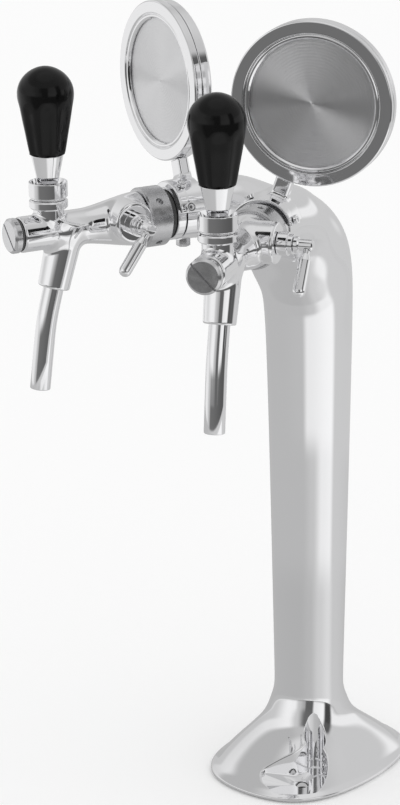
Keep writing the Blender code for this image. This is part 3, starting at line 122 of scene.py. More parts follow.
def turned_plate_material():
    """Fine and coarse rings round the plate's axis, which spread the light across them."""
    made, tree, principled = shader(
        "turned steel plate", (0.86, 0.86, 0.87), 0.33, 1.0, Anisotropic=1.0, Anisotropic_Rotation=0.25)
    tangent = node(tree, "Tangent", direction_type="RADIAL", axis="Z")
    tree.links.new(tangent.outputs["Tangent"], principled.inputs["Tangent"])
    place = node(tree, "TexCoord")
    fine, coarse = (
        node(tree, "TexWave", wave_type="RINGS", rings_direction="Z",
             Scale=scale, Distortion=distortion, Detail=detail)
        for scale, distortion, detail in ((900.0, 1.5, 2.0), (170.0, 2.5, 1.0)))
    for rings in (fine, coarse):
        tree.links.new(place.outputs["Object"], rings.inputs["Vector"])
    both = node(tree, "Math", operation="MULTIPLY_ADD")
    both.inputs[1].default_value = 0.35
    tree.links.new(fine.outputs["Fac"], both.inputs[0])
    tree.links.new(coarse.outputs["Fac"], both.inputs[2])
    bumped(tree, principled, both.outputs[0], 0.30, 0.00012)
    tree.links.new(spread(tree, fine.outputs["Fac"], 0.29, 0.37), principled.inputs["Roughness"])
    return made


def matt(name, colour, roughness, varied, bump=(), **values):
    """Plastic or rubber: gloss varied between two values by noise, and a fine bumpy skin."""
    made, tree, principled = shader(name, colour, roughness, 0.0, **values)
    if bump:
        scale, strength = bump
        bumped(tree, principled, speckle(tree, scale), strength, 0.0003)
    scale, low, high = varied
    tree.links.new(spread(tree, speckle(tree, scale), low, high), principled.inputs["Roughness"])
    return made


CHROME = metal("polished chrome", (0.93, 0.93, 0.94), 0.035, 0.075, 60)
SATIN = metal("satin chrome", (0.60, 0.60, 0.61), 0.20, 0.32, 220, 0.03)
CAP = metal("fine satin chrome", (0.74, 0.74, 0.75), 0.16, 0.26, 220, 0.04)
STEEL = metal("stainless steel", (0.66, 0.66, 0.67), 0.22, 0.34, 300, 0.05, (1, 1, 8))
BRASS = metal("machined brass", (0.80, 0.62, 0.32), 0.22, 0.34, 400, 0.06)
PLATE = turned_plate_material()
BLACK = matt("gloss black plastic", (0.004, 0.004, 0.004), 0.10, (90, 0.08, 0.15), (260, 0.03),
             Specular_IOR_Level=0.22)
RUBBER = matt("black rubber", (0.070, 0.070, 0.070), 0.65, (200, 0.55, 0.75), (1500, 0.25))
HOSE = matt("food hose", (0.80, 0.80, 0.77), 0.40, (150, 0.35, 0.5))


# Meshes


def linked(name, data):
    made = bpy.data.objects.new(name, data)
    bpy.context.scene.collection.objects.link(made)
    return made


def mesh_data(name, points, faces):
    data = bpy.data.meshes.new(name)
    data.from_pydata([tuple(p) for p in points], [], [tuple(int(i) for i in f) for f in faces])
    return data


def piece(name, data, material, body, solid, matrix):
    """A named piece in a material, placed and riding on a body, which stands for this solid."""
    data.materials.clear()
    data.materials.append(material)
    data.shade_smooth()
    thing = linked(name, data)
    thing.matrix_world = matrix
    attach(thing, body)
    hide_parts(solid)
    return thing


def add(name, mesh, material, body, solid, matrix, sharp=38):
    """A piece made from (points, faces[, normals])."""
    thing = piece(name, mesh_data(name, *mesh[:2]), material, body, solid, matrix)
    if len(mesh) == 3:
        thing.data.normals_split_custom_set_from_vertices([tuple(n) for n in mesh[2]])
    else:
        thing.data.set_sharp_from_angle(angle=radians(sharp))


def add_cut(name, thing, material, body, solid, matrix=UP, sharp=35, **settings):
    """A piece made from a cut helper, its flats kept flat and its rounds smooth."""
    data = thing.data
    bpy.data.objects.remove(thing)
    made = piece(name, data, material, body, solid, matrix)
    data.set_sharp_from_angle(angle=radians(sharp))
    if settings:
        modifier = made.modifiers.new("Weighted", "WEIGHTED_NORMAL")
        modifier.keep_sharp = True
        for key, value in settings.items():
            setattr(modifier, key, value)


def circle(count):
    """The cosine and sine of even steps round."""
    return [(cos(2 * pi * k / count), sin(2 * pi * k / count)) for k in range(count)]


def bands(first, rows, count, closed=False):
    """Quads between rows of count points each, numbered from first on."""
    faces = []
    for i in range(rows if closed else rows - 1):
        a, b = first + i * count, first + (i + 1) % rows * count
        for k in range(count):
            n = (k + 1) % count
            faces.append((a + k, a + n, b + n, b + k))
    return faces


def tap_space(sign, at=(0, 0, 0), turn=UP):
    """A tap's frame: x to its side, -y along its axis, z up, with a place and a turn in it."""
    root = Matrix.Translation((0, 0, AXIS_HEIGHT)) @ Matrix.Rotation(sign * SPLAY, 4, "Z")
    return root @ Matrix.Translation(at) @ turn


def soften(outline, radius, closed, steps):
    """The outline's points with its corners rounded. An arc takes at most 0.45 of a side."""
    points = [np.array(p, float) for p in outline]
    count = len(points)
    made = []
    for i, here in enumerate(points):
        if not closed and i in (0, count - 1):
            made.append(here)
            continue
        before, after = points[i - 1] - here, points[(i + 1) % count] - here
        short = min(np.linalg.norm(before), np.linalg.norm(after))
        a, b = before / np.linalg.norm(before), after / np.linalg.norm(after)
        opening = acos(max(-1.0, min(1.0, float(a @ b))))
        if opening > radians(168):
            made.append(here)
            continue
        cut = min(radius / tan(opening / 2), 0.45 * short)
        start, end = here + a * cut, here + b * cut
        for k in range(steps + 1):
            t = k / steps
            made.append((1 - t) ** 2 * start + 2 * t * (1 - t) * here + t**2 * end)
    return made


def turned(outline, radius, segments, steps=4):
    """An outline of (radius, height) turned about +Z, its corners rounded by a radius."""
    closed = bool(outline[0][0] and outline[-1][0])
    profile = soften(outline, radius, closed, steps)
    count = len(profile)
    last = count if closed else count - 1
    pairs = [(profile[i], profile[(i + 1) % count]) for i in range(last)]
    sides = [np.array([b[1] - a[1], a[0] - b[0]]) for a, b in pairs]
    area = sum(a[0] * b[1] - b[0] * a[1] for a, b in pairs)
    points, normals, rings = [], [], []
    outward = 1.0 if area > 0 or not closed and profile[-1][1] > profile[0][1] else -1.0
    for i, (r, h) in enumerate(profile):
        around = [sides[i % last]] if not closed and i == 0 else [sides[(i - 1) % last]]
        if i < last:
            around.append(sides[i])
        normal = sum(around) * outward
        normal = normal / max(1e-12, np.linalg.norm(normal))
        if r < 1e-9:
            rings.append([len(points)])
            points.append((0.0, 0.0, h))
            normals.append((0.0, 0.0, 1.0 if normal[1] > 0 else -1.0))
            continue
        rings.append(range(len(points), len(points) + segments))
        points += [(r * c, r * s, h) for c, s in circle(segments)]
        normals += [(normal[0] * c, normal[0] * s, normal[1]) for c, s in circle(segments)]
    faces = []
    for i in range(last):
        low, high = rings[i], rings[(i + 1) % count]
        for k in range(segments):
            n = (k + 1) % segments
            face = [low[k % len(low)], low[n % len(low)], high[n % len(high)], high[k % len(high)]]
            face = list(dict.fromkeys(face))
            if len(face) > 2:
                faces.append(face if outward > 0 else face[::-1])
    return points, faces, normals


def smin(a, b, k):
    """The lesser of two fields, blended over a width k where they meet."""
    h = np.maximum(k - np.abs(a - b), 0.0) / k
    return np.minimum(a, b) - h * h * k / 4


def smax(a, b, k):
    return -smin(-a, -b, k)


def within(value, start, end):
    """Negative between start and end."""
    return np.abs(value - (start + end) / 2) - (end - start) / 2


def surface_net(field, low, high, cell):
    """The field's zero surface as quads of about a cell's size, with its normals. The field is negative inside."""
    low, high = np.array(low, float), np.array(high, float)
    size = np.ceil((high - low) / cell).astype(int) + 1
    axes = [low[k] + cell * np.arange(size[k]) for k in range(3)]
    inside = field(np.stack(np.meshgrid(*axes, indexing="ij"), -1)) < 0
    count = np.zeros(size - 1, int)
    for corner in np.ndindex(2, 2, 2):
        part = tuple(slice(c, c + s - 1) for c, s in zip(corner, size))
        count += inside[part]
    active = (count > 0) & (count < 8)
    number = -np.ones(active.shape, int)
    number[active] = np.arange(active.sum())
    points = low + (np.argwhere(active) + 0.5) * cell
    faces = []
    for axis in range(3):
        here = [slice(None)] * 3
        there = [slice(None)] * 3
        here[axis], there[axis] = slice(0, -1), slice(1, None)
        first, second = inside[tuple(here)], inside[tuple(there)]
        for entering in (True, False):
            cells = np.argwhere((first != second) & (second == entering))
            others = [k for k in range(3) if k != axis]
            ok = np.all([(cells[:, k] > 0) & (cells[:, k] < size[k] - 1) for k in others], axis=0)
            cells = cells[ok]
            quad = []
            for da, db in ((0, 0), (1, 0), (1, 1), (0, 1)):
                at = cells.copy()
                at[:, others[0]] -= da
                at[:, others[1]] -= db
                quad.append(number[at[:, 0], at[:, 1], at[:, 2]])
            quad = np.stack(quad, 1)
            flip = entering != (axis == 1)
            faces.append(quad[:, ::-1] if flip else quad)
    faces = np.concatenate(faces)
    faces = faces[(faces >= 0).all(1)]

    def slope(at):
        steps = np.eye(3) * cell * 0.02
        return np.stack([(field(at + step) - field(at - step)) / (2 * step.max()) for step in steps], -1)

    def settle(at, rounds):
        """Points moved onto the surface."""
        for _ in range(rounds):
            g = slope(at)
            move = (field(at) / np.maximum((g * g).sum(-1), 0.05))[:, None] * g
            length = np.linalg.norm(move, axis=-1, keepdims=True)
            at = at - move * np.minimum(1, cell / np.maximum(length, 1e-12))
        return at

    points = settle(points, 5)
    ends = np.concatenate([faces[:, [0, 1]], faces[:, [1, 2]], faces[:, [2, 3]], faces[:, [3, 0]]])
    for _ in range(4):
        total = np.zeros_like(points)
        weight = np.zeros(len(points))
        np.add.at(total, ends[:, 0], points[ends[:, 1]])
        np.add.at(total, ends[:, 1], points[ends[:, 0]])
        np.add.at(weight, ends[:, 0], 1)
        np.add.at(weight, ends[:, 1], 1)
        points = settle(0.5 * points + 0.5 * total / weight[:, None], 2)
    normals = slope(points)
    normals /= np.maximum(np.linalg.norm(normals, axis=-1, keepdims=True), 1e-9)
    return points, faces, normals


# The casting: the CAD's cage, subdivided finely


TRUNK, ARM = 16, 12  # points round the cage's column and round its arms
trunk_swell, arm_swell = (3 / (2 + cos(2 * pi / count)) for count in (TRUNK, ARM))
BEND = 0.0760
ARM_REACH = 0.0984
ARM_RADIUS = 0.0170
ARM_END_WALL = 0.0045
FOOT_BOTTOM = 0.0015
FOOT_FLARE = 0.0620
HALF_WIDTH = 0.0549
HALF_DEPTH = 0.0713
CORNER_POWER = 2.57
COLUMN_FOOT = 0.0232
COLUMN_TOP = 0.0283
WALL = 0.0030
# (share of the flare's height, share of the foot's spread beyond the column)
FLARE_SHARES = ((0.06, 0.90), (0.13, 0.81), (0.30, 0.52), (0.50, 0.18), (0.68, 0.08), (0.84, 0.0))
# (degrees round the bend, radius as a share of the column's top, how far forked into two arms)
BEND_SHARES = ((16, 1.08, 0.32), (33, 1.16, 0.45), (48, 1.0, 0.71), (61, 0.775, 1.0))


def rounded(half_width, half_depth, power, count):
    """Points of the foot's rounded outline, by angle."""
    return [(half_width * copysign(abs(c) ** (2 / power), c), half_depth * copysign(abs(s) ** (2 / power), s))
            for c, s in circle(count)]


def foot_ring(height, out_share):
    half_width = COLUMN_FOOT + (HALF_WIDTH - COLUMN_FOOT) * out_share
    half_depth = COLUMN_FOOT + (HALF_DEPTH - COLUMN_FOOT) * out_share
    power = 2 + (CORNER_POWER - 2) * min(1, 2 * out_share)
    return [Vector((x * trunk_swell, -y * trunk_swell, height))
            for x, y in rounded(half_width, half_depth, power, TRUNK)]


def round_ring(height, radius):
    swollen = radius * trunk_swell
    return [Vector((swollen * c, -swollen * s, height)) for c, s in circle(TRUNK)]


def arm_centre(bend, beyond=0.0):
    reach = BEND * (1 - cos(bend)) + beyond
    return Vector((reach * sin(SPLAY), -reach * cos(SPLAY), AXIS_HEIGHT - BEND + BEND * sin(bend)))


def arm_point(bend, around, radius, beyond=0.0):
    out = Vector((cos(SPLAY), sin(SPLAY), 0))
    top = Vector((-cos(bend) * sin(SPLAY), cos(bend) * cos(SPLAY), sin(bend)))
    return arm_centre(bend, beyond) + radius * (sin(around) * top - cos(around) * out)


def mirrored(point):
    return Vector((-point.x, point.y, point.z))


def bend_ring(bend, radius, fork):
    centre = arm_centre(bend)
    middle = Vector((0, centre.y, centre.z))
    back = Vector((0, cos(bend), sin(bend)))
    step = 2 * pi / ARM
    points = []
    for i, (c, s) in enumerate(circle(TRUNK)):
        plain = middle + radius * (Vector((c, 0, 0)) - s * back)
        if i in (4, 12):
            forked = arm_point(bend, pi / 3 if i == 12 else -pi / 3, radius)
            forked.x = 0
        elif 4 < i < 12:
            forked = mirrored(arm_point(bend, pi - step * (i - 8), radius))
        else:
            forked = arm_point(bend, pi + step * (i if i < 4 else i - TRUNK), radius)
        points.append(plain.lerp(forked, fork) + (trunk_swell - 1) * (plain - middle))
    return points


def arm_ring(bend, radius, beyond=0.0):
    return [arm_point(bend, pi / 3 + 2 * pi / ARM * j, radius * arm_swell, beyond) for j in range(ARM)]


def column_radius(height):
    start = FOOT_BOTTOM + FOOT_FLARE
    return COLUMN_FOOT + (COLUMN_TOP - COLUMN_FOOT) * (height - start) / (AXIS_HEIGHT - BEND - start)


def casting_surface(inset, foot, arm_end, levels):
    """The cage's subdivision surface as a bmesh, its open ends closed flat."""
    mesh = bmesh.new()

    def put(ring):
        return [mesh.verts.new(p) for p in ring]

    def bridge(low, high):
        for i in range(len(low)):
            n = (i + 1) % len(low)
            mesh.faces.new((low[i], low[n], high[n], high[i]))

    rings = list(foot)
    rings.append(round_ring(AXIS_HEIGHT - BEND, COLUMN_TOP - inset))
    for degrees, share, fork in BEND_SHARES:
        rings.append(bend_ring(radians(degrees), COLUMN_TOP * share - inset, fork))
    rings = [put(ring) for ring in rings]
    for low, high in zip(rings, rings[1:]):
        bridge(low, high)
    last = rings[-1]
    crotch = []
    for around in (-pi / 6, 0, pi / 6):
        point = arm_point(radians(70), around, COLUMN_TOP * 0.90 - inset)
        point.x = 0
        crotch.append(point)
    crotch = put(crotch)
    right = [last[i % TRUNK] for i in range(12, 21)] + crotch
    left = [last[i] for i in range(12, 3, -1)] + crotch
    sections = [
        arm_ring(radians(77), COLUMN_TOP * 0.84 - inset),
        arm_ring(pi / 2, ARM_RADIUS - inset),
        arm_ring(pi / 2, ARM_RADIUS - inset, arm_end - BEND),
    ]
    for start, side in ((right, list), (left, lambda ring: [mirrored(p) for p in ring])):
        low = start
        for section in sections:
            high = put(side(section))
            bridge(low, high)
            low = high
    bmesh.ops.recalc_face_normals(mesh, faces=mesh.faces)
    holder = helper("cage", mesh)
    modifier = holder.modifiers.new("Subdivision", "SUBSURF")
    modifier.levels = levels
    smooth = evaluated(holder)
    bpy.data.objects.remove(holder)
    mesh = bmesh.new()
    mesh.from_mesh(smooth)
    bmesh.ops.holes_fill(mesh, edges=[e for e in mesh.edges if e.is_boundary], sides=0)
    bmesh.ops.recalc_face_normals(mesh, faces=mesh.faces)
    return mesh


def helper(name, mesh, matrix=UP):
    """A solid for a Boolean, from a bmesh or from (points, faces)."""
    if isinstance(mesh, bmesh.types.BMesh):
        data = bpy.data.meshes.new(name)
        mesh.to_mesh(data)
        mesh.free()
    else:
        data = mesh_data(name, *mesh)
    data.transform(matrix)
    return linked(name, data)


def evaluated(thing):
    """A new mesh with the object's modifiers applied."""
    return bpy.data.meshes.new_from_object(thing.evaluated_get(bpy.context.evaluated_depsgraph_get()))


def cut(thing, tools):
    """The object less the tools by one exact Boolean. The tools are then gone."""
    group = bpy.data.collections.new("tools")
    for tool in tools:
        group.objects.link(tool)
    modifier = thing.modifiers.new("cut", "BOOLEAN")
    modifier.operand_type = "COLLECTION"
    modifier.collection = group
    modifier.operation = "DIFFERENCE"
    modifier.solver = "EXACT"
    done = evaluated(thing)
    thing.modifiers.clear()
    thing.data = done
    for tool in tools:
        bpy.data.objects.remove(tool)
    bpy.data.collections.remove(group)
    return thing


def rod(radius, start, end, segments=40):
    """A closed cylinder about +Z."""
    points = [(radius * c, radius * s, h) for h in (start, end) for c, s in circle(segments)]
    ends = [tuple(range(segments))[::-1], tuple(range(segments, 2 * segments))]
    return points, bands(0, 2, segments) + ends


BOLT = Vector((0.0285, -0.0440, 0))
BOLT_RADIUS = 0.0045
SEAT_RADIUS = 0.0090
NECK = (0.0236, -0.0236)
NECK_RADIUS = 0.0070
POCKET_FLOOR = 0.0050
RIM_FILLET = 0.0016
COVE_FILLET = 0.0012
RAMP_BEARING = radians(155)
RAMP_ANGLE = radians(40)
ABOVE_FOOT = 0.064
BESIDE_FOOT = 0.0045  # the level taken where a ray misses the foot
CLEAR = 0.0004


def evenly(points, count, eased, reach=0.004, rounds=60):
    """A closed outline stepped evenly, smoothed a little and, near the eased corners, a lot."""
    total = [0.0]
    for a, b in zip(points, points[1:] + points[:1]):
        total.append(total[-1] + (b - a).length)
    ring = []
    for k in range(count):
        want = total[-1] * k / count
        i = max(j for j in range(len(points)) if total[j] <= want)
        share = (want - total[i]) / max(1e-9, total[i + 1] - total[i])
        ring.append(points[i].lerp(points[(i + 1) % len(points)], share))
    weights = [max([0.08] + [1 - (p - c).length / (2 * reach) for c in eased]) for p in ring]
    for _ in range(rounds):
        near = [(ring[k - 1] + ring[(k + 1) % count]) / 2 for k in range(count)]
        ring = [p.lerp(n, w * 0.5) for p, n, w in zip(ring, near, weights)]
    return ring


def pocket_ring():
    """The bolt pocket's plan: the neck that a spanner enters by, a small lobe and a wide round."""
    corner = Vector((0.0203, -0.0378, 0))
    points = [Vector((*NECK, 0)), corner]
    for x, y, radius, start, end, steps in (
        (0.0105, -0.0576, 0.0052, 140, 250, 14),
        (0.0215, -0.0430, 0.0218, 252, 420, 48),
    ):
        for k in range(steps + 1):
            angle = radians(start + (end - start) * k / steps)
            points.append(Vector((x + radius * cos(angle), y + radius * sin(angle), 0)))
    return evenly(points, 200, (corner,))


def neck_ring():
    return [Vector((NECK[0] + NECK_RADIUS * c, NECK[1] + NECK_RADIUS * s, 0)) for c, s in circle(72)]


def sunk_cutter(surface, ring, middle, bottom, ramp_angle, turn):
    """A well as rings that follow the foot's surface, so that its rim turns over softly."""
    count = len(ring)
    rotate = Matrix.Rotation(turn, 4, "Z")
    uphill = Vector((cos(RAMP_BEARING), sin(RAMP_BEARING), 0))
    normals = []
    for k in range(count):
        along = (ring[(k + 1) % count] - ring[k - 1]).normalized()
        normals.append(Vector((along.y, -along.x, 0)))

    def level(point):
        hit = surface.ray_cast(rotate @ Vector((point.x, point.y, ABOVE_FOOT)), Vector((0, 0, -1)))
        return hit[0].z if hit[0] else BESIDE_FOOT

    tops = [max(level(point), bottom + CLEAR) for point in ring]
    floor = []
    for point, top in zip(ring, tops):
        climb = max(0.0, (point - middle).dot(uphill) - SEAT_RADIUS) * tan(ramp_angle)
        floor.append(bottom + min(climb, 0.6 * (top - bottom)))
    rims, probe = [], 0.001
    for point, normal, top, low in zip(ring, normals, tops, floor):
        slope = abs(level(point + normal * probe) - top) / probe
        rims.append(min(RIM_FILLET, 0.5 * (top - low)) * (1 - slope / sqrt(1 + slope * slope)))
    coves = [min(COVE_FILLET, 0.35 * (t - f)) for t, f in zip(tops, floor)]
    for _ in range(12):
        rims = [(rims[k - 1] + rims[k] + rims[(k + 1) % count]) / 3 for k in range(count)]
    around = list(zip(ring, normals, floor, coves, tops, rims))
    rows = []
    # The flat seat, the floor, its cove, the wall, the rim, and a way out over the surface to a lid
    for reach in (0.55 * SEAT_RADIUS, SEAT_RADIUS):
        steps = [(p - middle).normalized() * min(reach, (p - middle).length * 0.6 * reach / SEAT_RADIUS)
                 for p in ring]
        rows.append([middle + step + Vector((0, 0, bottom)) for step in steps])
    rows.append([p - n * c * 1.6 + Vector((0, 0, f)) for p, n, f, c, t, r in around])
    for degrees in (30, 60, 90):
        a = radians(degrees)
        rows.append([p - n * c * (1 - sin(a)) + Vector((0, 0, f + c * (1 - cos(a))))
                     for p, n, f, c, t, r in around])
    for share in (0.5, 1.0):
        rows.append([p + Vector((0, 0, f + c + (t - r - f - c) * share)) for p, n, f, c, t, r in around])
    for degrees in (22, 45, 68, 88):
        a = radians(degrees)
        rows.append([p + n * r * (1 - cos(a)) + Vector((0, 0, t - r)) for p, n, f, c, t, r in around])
        rows[-1] = [Vector((q.x, q.y, max(q.z, level(q) - r * (1 - sin(a))))) for q, r in zip(rows[-1], rims)]
    rows.append([p + n * r * 1.3 for p, n, f, c, t, r in around])
    rows[-1] = [Vector((q.x, q.y, level(q) + CLEAR)) for q in rows[-1]]
    rows.append([Vector((p.x, p.y, ABOVE_FOOT + 0.0015)) for p in rows[-1]])
    points = [middle + Vector((0, 0, bottom))] + [p for row in rows for p in row]
    faces = [(0, 1 + (k + 1) % count, 1 + k) for k in range(count)] + bands(1, len(rows), count)
    last = 1 + (len(rows) - 1) * count
    faces.append(tuple(range(last, last + count)))
    tool = helper("pocket", (points, faces), rotate)
    mesh = bmesh.new()
    mesh.from_mesh(tool.data)
    if mesh.calc_volume(signed=True) < 0:
        bmesh.ops.reverse_faces(mesh, faces=mesh.faces)
    mesh.to_mesh(tool.data)
    mesh.free()
    return tool


def bolt_holes(start, end):
    """Rods through the foot at both bolts."""
    return [helper("bolt", rod(BOLT_RADIUS, start, end), Matrix.Rotation(turn, 4, "Z") @ Matrix.Translation(BOLT))
            for turn in (0.0, pi)]


def build_tower():
    foot = [foot_ring(FOOT_BOTTOM + lift, 1) for lift in (0, 0.0009, 0.0018)]
    foot += [foot_ring(FOOT_BOTTOM + FOOT_FLARE * h, out) for h, out in FLARE_SHARES]
    foot.append(round_ring(FOOT_BOTTOM + FOOT_FLARE, COLUMN_FOOT))
    foot.append(round_ring(FOOT_BOTTOM + 2 * FOOT_FLARE, column_radius(FOOT_BOTTOM + 2 * FOOT_FLARE)))
    outer = casting_surface(0, foot, ARM_REACH, 4)
    surface = BVHTree.FromBMesh(outer)
    inner_foot = [round_ring(-0.01, COLUMN_FOOT - WALL), round_ring(FOOT_FLARE, COLUMN_FOOT - WALL)]
    casting = helper("tower", outer)
    tools = [helper("hollow", casting_surface(WALL, inner_foot, ARM_REACH - ARM_END_WALL, 2))]
    neck = Vector((*NECK, 0))
    for turn, bolt in zip((0.0, pi), bolt_holes(-0.005, 0.007)):
        tools.append(sunk_cutter(surface, pocket_ring(), BOLT, POCKET_FLOOR, RAMP_ANGLE, turn))
        tools.append(sunk_cutter(surface, neck_ring(), neck, POCKET_FLOOR + 0.0003, 0.0, turn))
        tools.append(bolt)
    for _, sign in SIDES:
        tools.append(helper("bore", rod(SHANK_BORE, 0.090, 0.11), tap_space(sign, turn=FORWARD)))
        tools.append(helper("seat", rod(0.0048, -0.0218, -0.0157), tap_space(sign, LOCK_SCREW)))
    for tool in tools:
        cut(casting, [tool])
    add_cut("tower_shell", casting, CHROME, "tower", "tower_casting", sharp=42, mode="FACE_AREA")


def build_gasket():
    """The rubber sheet: a rounded edge outside, open round the hoses and at the two bolts."""
    inset, thick, edge, count = 0.0030, 0.0012, 0.0003, 144
    outer = rounded(HALF_WIDTH - inset, HALF_DEPTH - inset, CORNER_POWER, count)
    bore = COLUMN_FOOT - WALL
    rows = [[(x * (1 - pull / HALF_WIDTH), y * (1 - pull / HALF_DEPTH), height) for x, y in outer]
            for pull, height in ((edge, 0), (0, edge), (0, thick - edge), (edge, thick))]
    rows += [[(bore * c, bore * s, height) for c, s in circle(count)] for height in (thick, 0)]
    sheet = helper("sheet", ([p for row in rows for p in row], bands(0, len(rows), count, True)))
    cut(sheet, bolt_holes(-0.001, 0.003))
    add_cut("foot_sheet", sheet, RUBBER, "tower", "base_gasket", sharp=50)


build_tower()
build_gasket()


# The taps


def box_mesh(width, depth, height):
    points = [(x * width / 2, y * depth / 2, z * height / 2) for x in (-1, 1) for y in (-1, 1) for z in (-1, 1)]
    return points, [(0, 1, 3, 2), (4, 6, 7, 5), (0, 4, 5, 1), (2, 3, 7, 6), (0, 2, 6, 4), (1, 5, 7, 3)]


def smooth_table(table):
    """A smooth curve through (place, value) pairs, level at its ends, for arrays."""
    xs = np.array([p[0] for p in table], float)
    ys = np.array([p[1] for p in table], float)
    slopes = np.gradient(ys, xs)
    slopes[0] = slopes[-1] = 0

    def curve(x):
        x = np.clip(x, xs[0], xs[-1])
        i = np.clip(np.searchsorted(xs, x) - 1, 0, len(xs) - 2)
        width = xs[i + 1] - xs[i]
        t = (x - xs[i]) / width
        a, b = ys[i], ys[i + 1]
        m, n = slopes[i] * width, slopes[i + 1] * width
        level = (2 * t**3 - 3 * t**2 + 1) * a + (t**3 - 2 * t**2 + t) * m
        return level + (3 * t**2 - 2 * t**3) * b + (t**3 - t**2) * n

    return curve


FLARE = smooth_table(
    ((0, 1), (0.10, 0.965), (0.20, 0.875), (0.30, 0.76), (0.50, 0.50), (0.70, 0.24), (0.88, 0.05), (1, 0))
)


def tap_field(p):
    """The tap's body: flare and barrel, spout socket, neck and boss, with its bores. Negative inside.

    x goes to the tap's side, u along its axis and z up. The last size in a smin or smax rounds the edge.
    """
    x, u, z = p[..., 0], -p[..., 1], p[..., 2]
    r = np.hypot(x, z)
    from_lever = np.hypot(x, u + LEVER[1])
    from_compensator = np.hypot(u + COMPENSATOR[1], z - COMPENSATOR[2])
    radius = 0.0110 + 0.0058 * FLARE((u - 0.1245) / 0.0400)
    body = smax(r - radius, within(u, 0.1245, 0.2060), 0.0016)
    down = np.array([0, -sin(SPOUT_LEAN), -cos(SPOUT_LEAN)])
    q = p - np.array(SPOUT)
    t = q @ down
    away = np.sqrt(np.maximum((q * q).sum(-1) - t * t, 0))
    socket = smax(away - (0.0112 - 0.0014 * t / 0.0371), within(t, -0.0040, 0.0371), 0.0014)
    body = smin(body, socket, 0.0045)
    neck = np.maximum(from_lever - 0.0095, within(z, 0, 0.0158))
    body = smin(body, neck, 0.0022)
    boss = smax(from_compensator - 0.0128, within(x, 0, 0.0215), 0.0022)
    body = smin(body, boss, 0.0030)
    tail = smax(r - 0.0110, within(u, 0.1170, 0.1300), 0.0006)
    tail = np.minimum(tail, smax(r - 0.0133, within(u, 0.1169, 0.1209), 0.0008))
    body = np.where(u < 0.1243, tail, np.minimum(body, tail))
    bores = np.where(u > 0.1630, np.where(u > 0.1670, r - 0.0072, r - 0.0045), r - 0.0080)
    bores = np.minimum(bores, np.maximum(from_lever - 0.0074, -z))
    bores = np.minimum(bores, np.maximum(away - np.where(t > 0.0191, 0.0066, 0.0050), -t))
    bores = np.minimum(bores, np.maximum(from_compensator - 0.0033, -x))
    return smax(body, -bores, 0.0007)


TAP_MESH = surface_net(tap_field, (-0.0185, -0.2075, -0.0400), (0.0230, -0.1155, 0.0175), 0.0007)


def bracket_field(sign):
    """The bracket: a ring before the arm's end, a saddle on the arm, a web between them, the medallion's stem."""
    lean = MEDALLION_LEAN
    centre = (sign * MEDALLION_REACH * sin(lean), MEDALLION_REACH * cos(lean))

    def field(p):
        x, u, z = p[..., 0], -p[..., 1], p[..., 2]
        r = np.hypot(x, z)
        ring = smax(r - 0.0164, within(u, 0.0987, 0.1047), 0.0010)
        t = (0.1041 - u) / 0.0176
        low, high = 0.0173 + 0.0016 * t, 0.0203 + 0.0016 * t
        past_saddle, past_web = (np.abs(x) * cos(radians(half)) - z * sin(radians(half)) for half in (78, 70))
        saddle = smax(np.maximum(r - high, low - r), within(u, 0.0865, 0.1041), 0.0011)
        saddle = smax(saddle, past_saddle, 0.0016)
        web = smax(within(r, 0.0158, 0.0203), within(u, 0.0987, 0.1041), 0.0008)
        web = smax(web, past_web, 0.0016)
        along = sign * x * sin(lean) + z * cos(lean)
        across = x * cos(lean) - sign * z * sin(lean)
        stem = smax(np.abs(across) - 0.0055, within(u, 0.08485, 0.09285), 0.0022)
        stem = smax(stem, within(along, 0.0200, 0.0345), 0.0004)
        body = smin(smin(ring, web, 0.0012), saddle, 0.0012)
        body = smin(body, stem, 0.0030)
        arm = np.maximum(r - 0.0172, u - 0.0986)
        body = smax(body, -arm, 0.0004)
        body = smax(body, -(np.hypot(x - centre[0], z - centre[1]) - 0.0503), 0.0006)
        return smax(body, -(r - SHANK_BORE), 0.0006)

    return field


def loft(rings, segments):
    """A tube through (centre, direction, radius) rings, closed from the last ring back to the first."""
    points = []
    side = Vector((1, 0, 0))
    for centre, ahead, radius in rings:
        across = (side - side.dot(ahead) * ahead).normalized()
        up = ahead.cross(across)
        points += [centre + radius * (c * across + s * up) for c, s in circle(segments)]
    return points, bands(0, len(rings), segments, True)


def spout_mesh():
    """The pouring pipe: a straight upper part, a soft knee, a lower part that leans half as much, a round lip."""
    down, lower = (Vector((0, -sin(lean), -cos(lean))) for lean in (SPOUT_LEAN, SPOUT_LEAN / 2))
    upper_length, radius, bore, lip = 0.0390, 0.0063, 0.0051, 0.0006
    top = Vector(SPOUT) + down * 0.0194
    knee = top + down * upper_length
    stations = [(top + down * upper_length * s, down) for s in (0.0, 0.25, 0.5)]
    start, end = knee - down * 0.0100, knee + lower * 0.0100
    for k in range(13):
        s = k / 12
        point = (1 - s) ** 2 * start + 2 * s * (1 - s) * knee + s**2 * end
        stations.append((point, down.lerp(lower, s).normalized()))
    stations.append((knee + lower * 0.0250, lower))
    last = knee + lower * 0.0430
    rings = [(c, d, radius) for c, d in stations]
    for degrees in range(0, 181, 30):
        a = radians(degrees)
        rings.append((last - lower * lip * (1 - sin(a)), lower, 0.0057 + lip * cos(a)))
    rings += [(c, d, bore) for c, d in reversed(stations)]
    return loft(rings, 72)


KNOB = smooth_table(
    ((0.0, 0.649), (0.03, 0.672), (0.22, 0.784), (0.45, 0.916), (0.60, 0.985), (0.69, 1.0))
)


